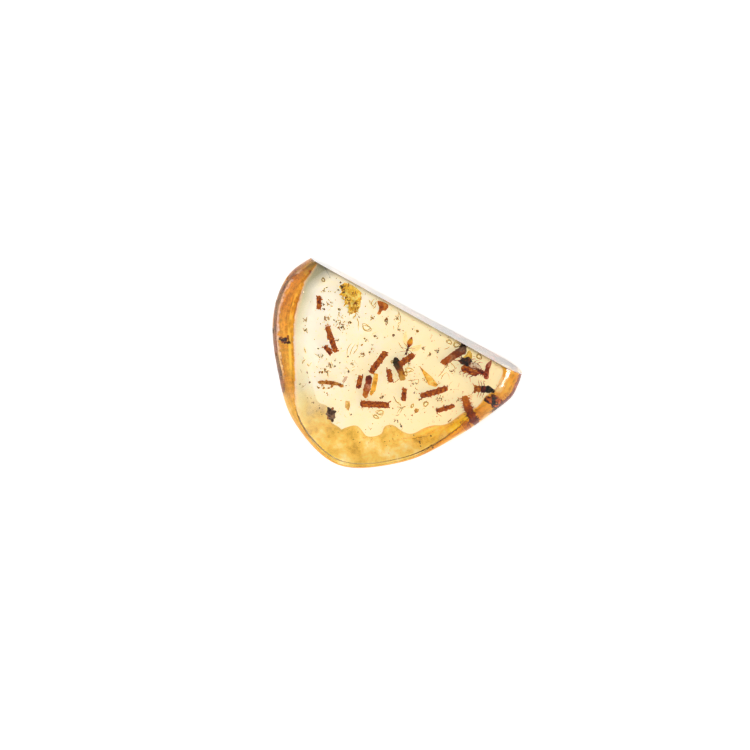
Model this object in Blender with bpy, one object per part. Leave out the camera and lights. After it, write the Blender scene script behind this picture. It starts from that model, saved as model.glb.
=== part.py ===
"""A sawn and polished piece of clear amber with insects, frass pellets and plant scraps sealed in it.

The slab lies on its back face. X runs along the sawn side, the sawn side faces +Y, and Z is up.
The origin is the middle of the slab's footprint, on the surface that it lies on.
"""
import math

import bmesh
import bpy
from mathutils import Vector, noise

MM = 0.001

# Driving dimensions, in millimetres
THICKNESS = 5.5
PARTING_LEVEL = 2.75
GAP = 0.3
SAWN_SIDE_LEFT = 12.6
SAWN_SIDE_RIGHT_TOP = 12.1
SAWN_SIDE_RIGHT_BASE = 12.9
SLAB_HALF_LENGTH = 19.1

RIM_STATIONS = 72
RIM_RINGS = 10
SAW_STEPS = 24
CUTTER_REACH = 60.0

# The grown outline before sawing: x, y, front bevel, back bevel, height of the widest line
OUTLINE = (
    (-14.0, 15.6, 0.2, 3.4, 2.8),
    (-18.1, 11.0, 2.3, 4.4, 2.8),
    (-19.1, 6.6, 3.4, 5.2, 2.8),
    (-17.7, 1.2, 3.5, 5.2, 2.8),
    (-13.9, -4.5, 3.0, 4.6, 2.8),
    (-8.0, -10.2, 1.2, 1.6, 3.8),
    (1.0, -12.7, 0.35, 0.8, 4.9),
    (9.4, -7.6, 0.35, 0.8, 4.9),
    (14.6, -0.7, 1.1, 1.6, 3.9),
    (18.0, 5.8, 2.6, 3.2, 3.0),
    (19.1, 9.7, 3.0, 3.4, 2.8),
    (17.2, 14.2, 2.6, 3.2, 2.8),
    (8.0, 18.0, 2.4, 3.2, 2.8),
    (-4.0, 18.4, 2.4, 3.2, 2.8),
)

# Droppings of wood-eating insects: start, end, width
PELLETS = (
    ((-13.4, 8.2, 3.4), (-12.5, 6.4, 3.1), 0.75),
    ((-10.2, 4.8, 3.6), (-7.2, 2.0, 3.9), 0.85),
    ((-9.2, 1.9, 2.0), (-7.7, 1.3, 1.9), 0.75),
    ((-0.7, 5.6, 3.1), (-1.2, 1.7, 3.7), 0.95),
    ((-2.3, 0.7, 3.3), (-1.8, -1.2, 3.6), 0.80),
    ((0.9, 3.5, 3.6), (2.1, 1.9, 3.3), 0.80),
    ((3.2, 7.2, 2.7), (2.0, 4.8, 2.5), 0.95),
    ((4.4, 2.0, 1.9), (5.1, 0.2, 1.7), 0.75),
    ((7.0, 2.1, 2.1), (10.0, 5.1, 2.3), 0.90),
    ((10.1, 1.3, 3.2), (12.1, 3.4, 3.5), 0.70),
    ((-0.4, -3.2, 2.5), (3.5, -1.3, 2.3), 1.00),
)
PELLET_BLUNTNESS = 5.0
PELLET_LUMP = 0.12
PELLET_HEIGHT_SHARE = 0.9
LUMPS_PER_MM = 1.9
LEG_THICKNESS = 0.16
FINE_LEG_THICKNESS = 0.12
WING_THICKNESS = 0.10


def linear(hex_colour):
    """An sRGB hex colour as linear red, green, blue and a full alpha."""
    channels = [int(hex_colour[i:i + 2], 16) / 255 for i in (1, 3, 5)]
    bent = [c / 12.92 if c <= 0.04045 else ((c + 0.055) / 1.055) ** 2.4 for c in channels]
    return (*bent, 1.0)


def new_material(name, hex_colour, roughness, transmission=0.0, ior=1.5):
    material = bpy.data.materials.new(name)
    material.use_nodes = True
    shader = material.node_tree.nodes["Principled BSDF"]
    shader.inputs["Base Color"].default_value = linear(hex_colour)
    shader.inputs["Roughness"].default_value = roughness
    shader.inputs["Metallic"].default_value = 0.0
    shader.inputs["Transmission Weight"].default_value = transmission
    shader.inputs["IOR"].default_value = ior
    return material


def new_collection(name):
    collection = bpy.data.collections.new(name)
    bpy.context.scene.collection.children.link(collection)
    return collection


def new_object(name, shape, collection):
    mesh = bpy.data.meshes.new(name)
    shape.to_mesh(mesh)
    shape.free()
    mesh.shade_smooth()
    obj = bpy.data.objects.new(name, mesh)
    collection.objects.link(obj)
    return obj


def make_helper(obj):
    """Marks an object that only cuts or joins others."""
    obj.hide_render = True
    obj.display_type = "WIRE"


def smooth_loop(knots, count):
    """Evenly numbered stations on the closed smooth curve through the knots, each with every knot value."""
    stations = []
    for index in range(count):
        place = index * len(knots) / count
        span = int(place)
        t = place - span
        near = [knots[(span + k) % len(knots)] for k in (-1, 0, 1, 2)]
        weights = (
            -0.5 * t + t * t - 0.5 * t ** 3,
            1.0 - 2.5 * t * t + 1.5 * t ** 3,
            0.5 * t + 2.0 * t * t - 1.5 * t ** 3,
            -0.5 * t * t + 0.5 * t ** 3,
        )
        stations.append([sum(w * knot[i] for w, knot in zip(weights, near)) for i in range(len(knots[0]))])
    return stations


def rim_point(stations, index, latitude):
    """The slab's surface at a station of the outline; latitude runs from -1 on the back to 1 on the front."""
    x, y, front, back, girdle = stations[index]
    before = Vector(stations[index - 1][:2])
    after = Vector(stations[(index + 1) % len(stations)][:2])
    along = (after - before).normalized()
    inward = Vector((-along.y, along.x))
    turn = latitude * math.pi / 2
    bevel, height = (front, THICKNESS - girdle) if latitude > 0 else (back, girdle)
    edge = Vector((x, y)) + inward * bevel * (1 - math.cos(turn))
    return Vector((edge.x, edge.y, girdle + height * math.sin(turn))) * MM


def amber_body(name, collection):
    """The whole pebble before sawing: a sphere pressed out to the outline and flattened front and back."""
    stations = smooth_loop(OUTLINE, RIM_STATIONS)
    shape = bmesh.new()
    bmesh.ops.create_uvsphere(shape, u_segments=RIM_STATIONS, v_segments=RIM_RINGS, radius=1.0)
    flat_ring = math.pi / 2 - math.pi / RIM_RINGS
    for vert in shape.verts:
        height = max(-1.0, min(1.0, vert.co.z))
        if abs(height) > 0.999:
            vert.co = Vector((0.0, 0.0, THICKNESS if height > 0 else 0.0)) * MM
            continue
        turn = math.atan2(vert.co.y, vert.co.x) % (2 * math.pi)
        index = round(turn / (2 * math.pi) * RIM_STATIONS) % RIM_STATIONS
        vert.co = rim_point(stations, index, math.asin(height) / flat_ring)
    return new_object(name, shape, collection)


def sawn_side(x, z):
    """How far the polished saw cut lies from the X axis: upright at the left end, leaning in to the right."""
    share = (x + SLAB_HALF_LENGTH) / (2 * SLAB_HALF_LENGTH)
    top = SAWN_SIDE_LEFT + (SAWN_SIDE_RIGHT_TOP - SAWN_SIDE_LEFT) * share
    base = SAWN_SIDE_LEFT + (SAWN_SIDE_RIGHT_BASE - SAWN_SIDE_LEFT) * share
    return base + (top - base) * z / THICKNESS


def saw_cutter(collection):
    """A block whose near side is the slightly twisted saw cut."""
    shape = bmesh.new()
    bmesh.ops.create_cube(shape, size=CUTTER_REACH)
    lengthwise = [e for e in shape.edges if abs(e.verts[0].co.x - e.verts[1].co.x) > 1.0]
    bmesh.ops.subdivide_edges(shape, edges=lengthwise, cuts=SAW_STEPS - 1, use_grid_fill=True)
    for vert in shape.verts:
        x, y, z = vert.co
        level = 2 * THICKNESS if z > 0 else -THICKNESS
        side = sawn_side(x, level) if y < 0 else CUTTER_REACH
        vert.co = Vector((x, side, level)) * MM
    bmesh.ops.triangulate(shape, faces=shape.faces)
    cutter = new_object("saw_cut", shape, collection)
    make_helper(cutter)
    return cutter


def box_cutter(name, low, high, collection):
    shape = bmesh.new()
    bmesh.ops.create_cube(shape, size=1.0)
    for vert in shape.verts:
        vert.co = Vector([(h if c > 0 else l) for c, l, h in zip(vert.co, low, high)]) * MM
    cutter = new_object(name, shape, collection)
    make_helper(cutter)
    return cutter


def cut(obj, cutter):
    modifier = obj.modifiers.new("cut " + cutter.name, "BOOLEAN")
    modifier.operation = "DIFFERENCE"
    modifier.solver = "EXACT"
    modifier.object = cutter


def blob(name, start, end, width, height, collection, bluntness=2.0, taper=1.0, bend=0.0, lump=0.0,
         sides=10, rings=8):
    """A rounded body from start to end: blunt or pointed, tapered, bent sideways and lumpy as asked."""
    start, end = Vector(start), Vector(end)
    length = (end - start).length
    shape = bmesh.new()
    bmesh.ops.create_uvsphere(shape, u_segments=sides, v_segments=rings, radius=1.0)
    for vert in shape.verts:
        along = max(-1.0, min(1.0, vert.co.z))
        girth = math.sqrt(max(0.0, 1.0 - along * along))
        full = max(0.0, 1.0 - abs(along) ** bluntness) ** (1.0 / bluntness)
        swell = full / girth if girth > 0.01 else 0.0
        swell *= 1.0 + (taper - 1.0) * (along + 1.0) / 2
        side = vert.co.x * swell * width / 2
        up = vert.co.y * swell * height / 2
        rough = noise.noise(Vector((along * length, side * 2, up * 2)) * LUMPS_PER_MM + start)
        side *= 1.0 + 2 * lump * rough
        up *= 1.0 + 2 * lump * rough
        vert.co = Vector((along * length / 2, side + bend * (1 - along * along), up)) * MM
    obj = new_object(name, shape, collection)
    obj.location = (start + end) / 2 * MM
    obj.rotation_mode = "QUATERNION"
    obj.rotation_quaternion = (end - start).to_track_quat("X", "Z")
    return obj


def fuse(name, pieces, collection, helpers):
    """One solid of several overlapping pieces; the first is kept and the others become helpers."""
    whole = pieces[0]
    for piece in pieces[1:]:
        modifier = whole.modifiers.new("join " + piece.name, "BOOLEAN")
        modifier.operation = "UNION"
        modifier.solver = "EXACT"
        modifier.object = piece
        helpers.objects.link(piece)
        collection.objects.unlink(piece)
        make_helper(piece)
    whole.name = name
    return whole


def pocket_cutter(name, pieces, heading, helpers):
    """A box turned to the heading that clears the pieces all round and reaches the parting plane."""
    forward = Vector((heading.x, heading.y, 0.0)).normalized()
    sideways = Vector((-forward.y, forward.x, 0.0))
    axes = (forward, sideways, Vector((0.0, 0.0, 1.0)))
    corners = [piece.matrix_world @ vert.co for piece in pieces for vert in piece.data.vertices]
    low = [min(corner.dot(axis) for corner in corners) - GAP * MM for axis in axes]
    high = [max(corner.dot(axis) for corner in corners) + GAP * MM for axis in axes]
    low[2] = min(low[2], (PARTING_LEVEL - GAP) * MM)
    high[2] = max(high[2], (PARTING_LEVEL + GAP) * MM)
    shape = bmesh.new()
    bmesh.ops.create_cube(shape, size=1.0)
    for vert in shape.verts:
        sides = [(h if c > 0 else l) for c, l, h in zip(vert.co, low, high)]
        vert.co = sum((axis * side for axis, side in zip(axes, sides)), Vector())
    cutter = new_object("pocket_" + name, shape, helpers)
    make_helper(cutter)
    return cutter


def legs(name, roots, tips, thickness, collection):
    """Thin legs or feelers, each one straight pointed rod."""
    made = []
    for number, (root, tip) in enumerate(zip(roots, tips), start=1):
        made.append(blob(f"{name}_{number}", root, tip, thickness, thickness, collection,
                         bluntness=4.0, taper=0.5, sides=6, rings=3))
    return made


def winged_insect(collection):
    """The tiny winged insect: pointed belly, narrow chest, small head, two spread wings and fine legs."""
    level = 4.2
    chest = blob("chest", (1.78, 8.02, level), (2.12, 6.66, level), 0.42, 0.44, collection, bluntness=2.4)
    belly = blob("belly", (1.62, 9.42, level), (1.92, 7.90, level), 0.84, 0.62, collection, bluntness=1.7)
    head = blob("head", (1.86, 6.95, level), (2.22, 6.50, level), 0.44, 0.36, collection, sides=8, rings=6)
    left = blob("left_wing", (1.72, 7.45, level + 0.1), (0.53, 9.57, level + 0.2), 0.66, WING_THICKNESS,
                collection, bluntness=2.2, sides=8)
    right = blob("right_wing", (2.05, 7.30, level + 0.1), (3.40, 9.08, level + 0.2), 0.82, WING_THICKNESS,
                 collection, bluntness=2.2, sides=8)
    roots = [(1.90, 7.60 - 0.25 * step, level - 0.1) for step in range(3)] * 2
    tips = [(1.90 + side * (1.15 - 0.1 * step), 7.75 - 0.45 * step, level - 0.45)
            for side in (-1, 1) for step in range(3)]
    limbs = legs("leg", roots, tips, FINE_LEG_THICKNESS, collection)
    return [chest, belly, head, left, right] + limbs


def beetle(collection):
    """The stout insect near the right end: dark head, brown body, glassy wing cases and a jointed tail."""
    head = blob("beetle_head", (9.75, 9.95, 3.3), (10.85, 9.65, 3.3), 1.00, 0.80, collection, bluntness=2.2)
    trunk = blob("beetle_trunk", (10.35, 9.75, 3.3), (12.6, 9.60, 3.3), 1.25, 1.05, collection, bluntness=2.6)
    cases = blob("wing_cases", (10.95, 10.05, 3.6), (12.75, 10.15, 3.5), 1.00, 0.90, collection,
                 bluntness=2.2)
    tail = [blob(f"tail_{step + 1}", (12.40 + 0.36 * step, 9.66, 3.2), (12.98 + 0.36 * step, 9.74, 3.2),
                 0.66 - 0.06 * step, 0.52, collection, sides=8, rings=6) for step in range(3)]
    roots = [(10.8 + 0.55 * step, 9.45, 3.0) for step in range(3)]
    tips = [(10.6 + 0.60 * step, 8.65 - 0.05 * step, 2.6) for step in range(3)]
    return [trunk, head, cases] + tail + legs("beetle_leg", roots, tips, LEG_THICKNESS, collection)


def dark_insect(collection):
    """The small insect below it: brown head with spread mouthparts, dark red chest, black belly."""
    chest = blob("dark_chest", (14.15, 7.40, 2.9), (15.35, 7.95, 2.9), 0.98, 0.80, collection, bluntness=2.8)
    head = blob("dark_head", (13.45, 7.10, 2.9), (14.45, 7.55, 2.9), 1.00, 0.72, collection, bluntness=2.2)
    belly = blob("dark_belly", (14.95, 7.75, 2.9), (16.10, 8.25, 2.9), 0.95, 0.74, collection, taper=0.6)
    roots = [(13.90, 7.60, 2.9), (14.25, 7.70, 2.9), (13.75, 7.10, 2.9)]
    tips = [(13.65, 8.35, 2.8), (14.50, 8.50, 2.8), (13.95, 6.55, 2.8)]
    return [chest, head, belly] + legs("dark_leg", roots, tips, LEG_THICKNESS, collection)


def bristly_insect(collection):
    """The long bristly body at the lower right: brown segments that darken towards the rim."""
    segments = []
    first, last = Vector((12.75, 4.85, 2.8)), Vector((15.35, 3.15, 3.0))
    for step, width in enumerate((0.85, 1.05, 0.95, 1.00)):
        share = step / 4
        start = first.lerp(last, share - 0.03 * step)
        end = first.lerp(last, min(1.0, share + 0.36))
        segments.append(blob(f"segment_{step + 1}", start, end, width, 0.8, collection, lump=0.15,
                             bluntness=2.6, sides=8, rings=7))
    roots = [(13.20, 4.80, 2.8), (14.30, 4.10, 2.8), (14.90, 3.80, 2.8), (13.90, 3.90, 2.8)]
    tips = [(12.85, 5.55, 2.8), (14.95, 4.75, 2.8), (15.50, 4.35, 2.8), (13.35, 3.35, 2.8)]
    return segments + legs("bristle", roots, tips, LEG_THICKNESS, collection)


def leaf_flake(collection):
    """A thin brown leaf flake, three-cornered, with a short stalk."""
    flake = blob("flake", (-4.60, 11.65, 3.9), (-4.15, 10.45, 3.9), 1.75, 0.30, collection, bluntness=4.0,
                 taper=0.35)
    stalk = blob("flake_stalk", (-4.20, 10.80, 3.9), (-4.45, 9.85, 3.9), 0.34, 0.24, collection,
                 bluntness=4.0, sides=8, rings=6)
    return [flake, stalk]


def seed_case(collection):
    """A red-brown club-shaped case whose stalk points at the sawn side."""
    case = blob("case", (13.95, 10.85, 2.2), (14.25, 9.20, 2.2), 0.72, 0.62, collection, bluntness=2.6,
                lump=0.1)
    stalk = blob("case_stalk", (13.75, 11.45, 2.2), (14.0, 10.60, 2.2), 0.26, 0.26, collection,
                 bluntness=4.0, sides=8, rings=5)
    return [case, stalk]


def single(name, start, end, width, height, collection, **shape):
    return [blob(name, start, end, width, height, collection, **shape)]


def inclusions(collection):
    """Every thing sealed in the amber: name, its pieces, its heading and its material's name."""
    rows = []
    for number, (start, end, width) in enumerate(PELLETS, start=1):
        pieces = single(f"pellet_{number}", start, end, width, PELLET_HEIGHT_SHARE * width, collection,
                        bluntness=PELLET_BLUNTNESS, lump=PELLET_LUMP, sides=9, rings=9)
        rows.append((f"pellet_{number}", pieces, Vector(end) - Vector(start), "frass"))
    rows.append(("winged_insect", winged_insect(collection), Vector((0.2, -1.0, 0.0)), "insect"))
    rows.append(("beetle", beetle(collection), Vector((1.0, 0.0, 0.0)), "insect"))
    rows.append(("dark_insect", dark_insect(collection), Vector((1.0, 0.43, 0.0)), "dark insect"))
    rows.append(("bristly_insect", bristly_insect(collection), Vector((1.0, -0.65, 0.0)), "insect"))
    rows.append(("leaf_flake", leaf_flake(collection), Vector((1.0, 0.0, 0.0)), "leaf"))
    rows.append(("seed_case", seed_case(collection), Vector((0.2, -1.0, 0.0)), "bark"))
    rows.append(("red_grain", single("red_grain", (-1.1, 0.75, 1.6), (-0.3, -1.7, 1.7), 0.90, 0.75,
                                     collection, bluntness=2.6, lump=0.2),
                 Vector((0.8, -2.4, 0.0)), "frass"))
    rows.append(("splinter", single("splinter", (-7.1, -3.1, 2.4), (-4.2, -1.9, 2.2), 0.50, 0.35, collection,
                                    bluntness=3.0, taper=0.6, lump=0.2), Vector((2.9, 1.2, 0.0)), "bark"))
    rows.append(("charred_twig", single("charred_twig", (9.15, 11.45, 2.5), (7.8, 8.0, 2.3), 1.05, 0.85,
                                        collection, bluntness=4.0, taper=0.75, bend=0.22, lump=0.15,
                                        sides=12, rings=10), Vector((-1.35, -3.45, 0.0)), "dark insect"))
    rows.append(("mottled_husk", single("mottled_husk", (1.2, 5.1, 1.5), (3.65, 3.0, 1.6), 1.05, 0.80,
                                        collection, bluntness=2.6, taper=0.8, lump=0.15),
                 Vector((2.4, -2.1, 0.0)), "bark"))
    rows.append(("rim_bark", single("rim_bark", (15.1, 5.9, 2.75), (16.5, 6.4, 2.85), 0.80, 0.7, collection,
                                    bluntness=3.0, lump=0.3), Vector((1.5, 0.5, 0.0)), "dark insect"))
    rows.append(("dark_seed", single("dark_seed", (-3.75, -6.65, 3.1), (-3.05, -6.35, 3.1), 0.50, 0.40,
                                     collection), Vector((0.7, 0.3, 0.0)), "dark insect"))
    rows.append(("crumpled_flake", single("crumpled_flake", (-9.8, 11.2, 3.3), (-7.5, 8.9, 3.2), 2.60, 0.80,
                                          collection, bluntness=2.4, lump=0.45, sides=14, rings=12),
                 Vector((1.0, 0.0, 0.0)), "flake"))
    return rows


def build():
    for obj in list(bpy.data.objects):
        bpy.data.objects.remove(obj, do_unlink=True)
    parts = new_collection("insect_in_amber")
    helpers = new_collection("cutters")
    helpers.hide_render = True
    materials = {
        "amber": new_material("clear amber", "#F6E3B4", 0.05, transmission=1.0, ior=1.54),
        "frass": new_material("frass", "#8A3A0C", 0.6),
        "insect": new_material("insect cuticle", "#7A3510", 0.35),
        "dark insect": new_material("dark cuticle", "#2E1408", 0.4),
        "leaf": new_material("brown leaf", "#9A4A1C", 0.6),
        "bark": new_material("bark", "#6E3512", 0.7),
        "flake": new_material("yellow flake", "#C99A35", 0.5),
    }

    contents = inclusions(parts)
    bpy.context.view_layer.update()
    pockets = []
    for name, pieces, heading, material in contents:
        pockets.append(pocket_cutter(name, pieces, heading, helpers))
        whole = fuse(name, pieces, parts, helpers)
        whole.data.materials.append(materials[material])

    saw = saw_cutter(helpers)
    reach = CUTTER_REACH / 2
    levels = (PARTING_LEVEL - GAP / 2, PARTING_LEVEL + GAP / 2)
    above = box_cutter("above_parting", (-reach, -reach, levels[0]), (reach, reach, reach), helpers)
    below = box_cutter("below_parting", (-reach, -reach, -reach), (reach, reach, levels[1]), helpers)
    for name, other_side in (("amber_lower", above), ("amber_upper", below)):
        half = amber_body(name, parts)
        half.data.materials.append(materials["amber"])
        cut(half, saw)
        cut(half, other_side)
        for pocket in pockets:
            cut(half, pocket)


build()
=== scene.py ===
"""A sawn and polished slab of amber with small insects, frass pellets and plant scraps sealed in it."""
import math
import random

import bpy
import numpy as np
from mathutils import Matrix, Vector, kdtree


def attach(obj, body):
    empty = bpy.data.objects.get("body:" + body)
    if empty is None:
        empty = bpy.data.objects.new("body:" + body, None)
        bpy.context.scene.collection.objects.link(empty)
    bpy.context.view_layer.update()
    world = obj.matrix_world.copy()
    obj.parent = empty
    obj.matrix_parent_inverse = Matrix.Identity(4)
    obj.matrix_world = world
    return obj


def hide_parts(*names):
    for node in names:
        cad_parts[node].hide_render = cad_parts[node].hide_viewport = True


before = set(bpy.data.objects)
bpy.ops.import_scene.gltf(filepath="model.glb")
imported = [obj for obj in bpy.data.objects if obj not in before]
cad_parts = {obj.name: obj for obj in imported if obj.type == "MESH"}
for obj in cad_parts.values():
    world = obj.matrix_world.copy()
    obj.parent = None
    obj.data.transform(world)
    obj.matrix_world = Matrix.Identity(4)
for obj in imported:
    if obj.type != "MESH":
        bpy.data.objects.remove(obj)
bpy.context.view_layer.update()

# Shapes are modelled in millimetres and brought to metres when each piece is finished
MM = 0.001
random.seed(11)

# The slab, as its solids have it
THICKNESS = 5.5
SAWN_SIDE_LEFT = 12.6
SAWN_SIDE_RIGHT_TOP = 12.1
SAWN_SIDE_RIGHT_BASE = 12.9
SLAB_HALF_LENGTH = 19.1
EDGE_ROUNDING = 0.10

# The grown outline before sawing: x, y, front bevel, back bevel, height of the widest line
OUTLINE = (
    (-14.0, 15.6, 0.2, 3.4, 2.8),
    (-18.1, 11.0, 2.3, 4.4, 2.8),
    (-19.1, 6.6, 3.4, 5.2, 2.8),
    (-17.7, 1.2, 3.5, 5.2, 2.8),
    (-13.9, -4.5, 3.0, 4.6, 2.8),
    (-8.0, -10.2, 1.2, 1.2, 3.8),
    (1.0, -12.7, 0.35, 0.4, 4.9),
    (9.4, -7.6, 0.35, 0.4, 4.9),
    (14.6, -0.7, 1.1, 1.2, 3.9),
    (18.0, 5.8, 2.6, 3.2, 3.0),
    (19.1, 9.7, 3.0, 3.4, 2.8),
    (17.2, 14.2, 2.6, 3.2, 2.8),
    (8.0, 18.0, 2.4, 3.2, 2.8),
    (-4.0, 18.4, 2.4, 3.2, 2.8),
)
RIM_STATIONS = 280
RIM_RINGS = 60
RIM_SHARE = 0.68
RIM_MARKS = 1400

# How strong the coloured outer skin is along the rim: place on the outline, front, back, and how far in
# the back's reaches
SKIN = (
    (0.0, 1.0, 1.0, 4.2),
    (1.0, 1.0, 0.9, 4.8),
    (2.0, 1.0, 0.8, 5.6),
    (3.0, 1.0, 0.7, 5.4),
    (4.0, 1.0, 0.5, 4.8),
    (5.0, 1.0, 0.9, 4.8),
    (5.6, 0.9, 1.0, 6.0),
    (6.4, 0.8, 1.0, 5.8),
    (7.0, 0.9, 1.0, 4.2),
    (7.6, 1.0, 1.0, 2.6),
    (8.2, 1.0, 1.0, 2.2),
    (9.0, 0.9, 1.0, 2.5),
    (10.0, 0.75, 1.0, 3.0),
    (11.0, 0.75, 1.0, 3.2),
    (14.0, 1.0, 1.0, 4.2),
)


# ---- modelling ----

def start_fresh(obj=None):
    """Nothing selected, or only the given object, which is then the active one."""
    bpy.ops.object.select_all(action="DESELECT")
    if obj:
        obj.select_set(True)
        bpy.context.view_layer.objects.active = obj


def apply_modifier(obj, kind, **settings):
    start_fresh(obj)
    modifier = obj.modifiers.new(kind.lower(), kind)
    for name, value in settings.items():
        setattr(modifier, name, value)
    bpy.ops.object.modifier_apply(modifier=modifier.name)


def roughen(obj, size, depth, direction="NORMAL"):
    """Lumps of the given size and depth in millimetres."""
    texture = bpy.data.textures.new("lumps", "CLOUDS")
    texture.noise_scale = size
    apply_modifier(obj, "DISPLACE", texture=texture, strength=depth, mid_level=0.5, texture_coords="LOCAL",
            direction=direction)
    bpy.data.textures.remove(texture)


def egg(start, end, width, height=None, blunt=2.0, taper=1.0, sides=20, rings=14):
    """A rounded body from start to end: blunt or pointed, and tapered to its far end. It is shaped upright
    round the origin and then laid along its line."""
    start, end = Vector(start), Vector(end)
    start_fresh()
    bpy.ops.mesh.primitive_uv_sphere_add(segments=sides, ring_count=rings, radius=0.5)
    body = bpy.context.object
    for vert in body.data.vertices:
        along = max(-1.0, min(1.0, 2 * vert.co.z))
        girth = math.sqrt(max(0.0, 1.0 - along * along))
        if girth < 0.01:
            continue
        swell = (1.0 - abs(along) ** blunt) ** (1.0 / blunt) / girth
        swell *= 1.0 + (taper - 1.0) * (along + 1.0) / 2
        vert.co.x *= swell
        vert.co.y *= swell
    body.scale = (width, height or width, (end - start).length)
    body.location = (start + end) / 2
    body.rotation_mode = "QUATERNION"
    body.rotation_quaternion = (end - start).to_track_quat("Z", "Y")
    start_fresh(body)
    bpy.ops.object.transform_apply(location=True, rotation=True, scale=True)
    return body


def eggs(*rows):
    """One rounded body for each row of egg's values."""
    return [egg(*row) for row in rows]


def stem(points, radii, sides=2):
    """A leg, feeler, vein or twig: one tapering tube through the points."""
    curve = bpy.data.curves.new("stem", "CURVE")
    curve.dimensions = "3D"
    curve.bevel_depth = 1.0
    curve.bevel_resolution = sides
    curve.use_fill_caps = True
    spline = curve.splines.new("POLY")
    spline.points.add(len(points) - 1)
    for knot, place, radius in zip(spline.points, points, radii):
        knot.co = (*place, 1.0)
        knot.radius = radius
    tube = bpy.data.objects.new("stem", curve)
    bpy.context.scene.collection.objects.link(tube)
    start_fresh(tube)
    bpy.ops.object.convert(target="MESH")
    return bpy.context.object


def join(pieces):
    start_fresh(pieces[0])
    for piece in pieces:
        piece.select_set(True)
    bpy.ops.object.join()
    return pieces[0]


def one_skin(pieces, grain, smoothing=2, lumps=()):
    """Draws one closed skin over overlapping bodies, and roughens it by each (size, depth) of lumps."""
    body = join(pieces)
    apply_modifier(body, "REMESH", mode="VOXEL", voxel_size=grain)
    if smoothing:
        apply_modifier(body, "SMOOTH", factor=0.5, iterations=smoothing)
    for size, depth in lumps:
        roughen(body, size, depth)
    return body


def coloured(obj, material):
    obj.data.materials.clear()
    obj.data.materials.append(material)
    return obj


def finish_piece(obj, name, nodes=(), angle=60):
    """Names the piece, shades it, brings it to metres and ties it to the slab."""
    start_fresh(obj)
    bpy.ops.object.shade_smooth_by_angle(angle=math.radians(angle))
    obj.name = name
    obj.data.name = name
    obj.scale = (MM, MM, MM)
    bpy.ops.object.transform_apply(location=True, rotation=True, scale=True)
    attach(obj, "root")
    if nodes:
        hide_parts(*nodes)
    return obj


def flake(outline, level, thickness, grain, lumps):
    """A thin flake with the given outline, wrinkled by each (size, depth) of lumps."""
    start_fresh()
    bpy.ops.mesh.primitive_circle_add(vertices=len(outline), radius=1.0, fill_type="NGON")
    sheet = bpy.context.object
    for vert, (x, y) in zip(sheet.data.vertices, outline):
        vert.co = (x, y, level)
    apply_modifier(sheet, "SOLIDIFY", thickness=thickness, offset=0.0)
    apply_modifier(sheet, "REMESH", mode="VOXEL", voxel_size=grain)
    for size, depth in lumps:
        roughen(sheet, size, depth, direction="Z")
    apply_modifier(sheet, "SMOOTH", factor=0.5, iterations=2)
    return sheet


# ---- materials ----

def linear(hex_colour):
    """An sRGB hex colour as linear red, green, blue and a full alpha."""
    channels = [int(hex_colour[i:i + 2], 16) / 255 for i in (1, 3, 5)]
    bent = [c / 12.92 if c <= 0.04045 else ((c + 0.055) / 1.055) ** 2.4 for c in channels]
    return (*bent, 1.0)


def add_node(tree, kind, inputs=(), stops=None, **settings):
    """Adds one node with its settings, its sockets as links or plain values, and the stops of a ramp, each
    as its place and colour."""
    node = tree.nodes.new("ShaderNode" + kind)
    for name, value in settings.items():
        setattr(node, name, value)
    for name, value in dict(inputs).items():
        if isinstance(value, bpy.types.NodeSocket):
            tree.links.new(value, node.inputs[name])
        else:
            node.inputs[name].default_value = value
    if stops:
        elements = node.color_ramp.elements
        stops = stops.split(", ")
        while len(elements) < len(stops):
            elements.new(0.5)
        for element, stop in zip(elements, stops):
            place, colour = stop.split()
            element.position = float(place)
            element.color = linear(colour)
    return node


def new_material(name, **sockets):
    """A Principled material with plain values on the named sockets."""
    material = bpy.data.materials.new(name)
    material.use_nodes = True
    shader = material.node_tree.nodes["Principled BSDF"]
    for socket, value in sockets.items():
        shader.inputs[socket.replace("_", " ")].default_value = value
    return material, material.node_tree, shader


def mottled(name, stops, grain, bump=0.02, run=None, run_share=0.0, **sockets):
    """A colour that wanders between the stops in patches of the grain's size in mm; run=(start, end) lets it
    change from one end of the piece to the other as well. Sealed in amber, hardly anything glints, so the
    specular level is low."""
    sockets.setdefault("Specular_IOR_Level", 0.05)
    material, tree, shader = new_material(name, **sockets)
    place = add_node(tree, "TexCoord").outputs["Object"]
    place = add_node(tree, "Mapping", {"Vector": place, "Scale": (1 / MM,) * 3}).outputs[0]
    wander = add_node(tree, "TexNoise", {"Vector": place, "Scale": 0.6 / grain, "Detail": 4.0,
            "Roughness": 0.6})
    factor = wander.outputs["Fac"]
    if run:
        start, end = Vector(run[0]), Vector(run[1])
        from_start = add_node(tree, "VectorMath", {0: place, 1: start}, operation="SUBTRACT").outputs[0]
        along = add_node(tree, "VectorMath", {0: from_start, 1: (end - start) / (end - start).length_squared},
                operation="DOT_PRODUCT")
        factor = add_node(tree, "Mix", {0: run_share, 2: factor, 3: along.outputs["Value"]}).outputs[0]
    colour = add_node(tree, "ValToRGB", {"Fac": factor}, stops=stops).outputs["Color"]
    tree.links.new(colour, shader.inputs["Base Color"])
    fine = add_node(tree, "TexNoise", {"Vector": place, "Scale": 2 / grain, "Detail": 3.0})
    relief = add_node(tree, "Bump", {"Height": fine.outputs["Fac"], "Strength": 0.6, "Distance": bump * MM})
    tree.links.new(relief.outputs["Normal"], shader.inputs["Normal"])
    return material


def tinted(name, stops, grain, **sockets):
    """Thin and see-through: it doesn't bend the light, and only colours what is behind it."""
    return mottled(name, stops, grain, Transmission_Weight=1.0, IOR=1.0, Roughness=0.2, **sockets)


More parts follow.
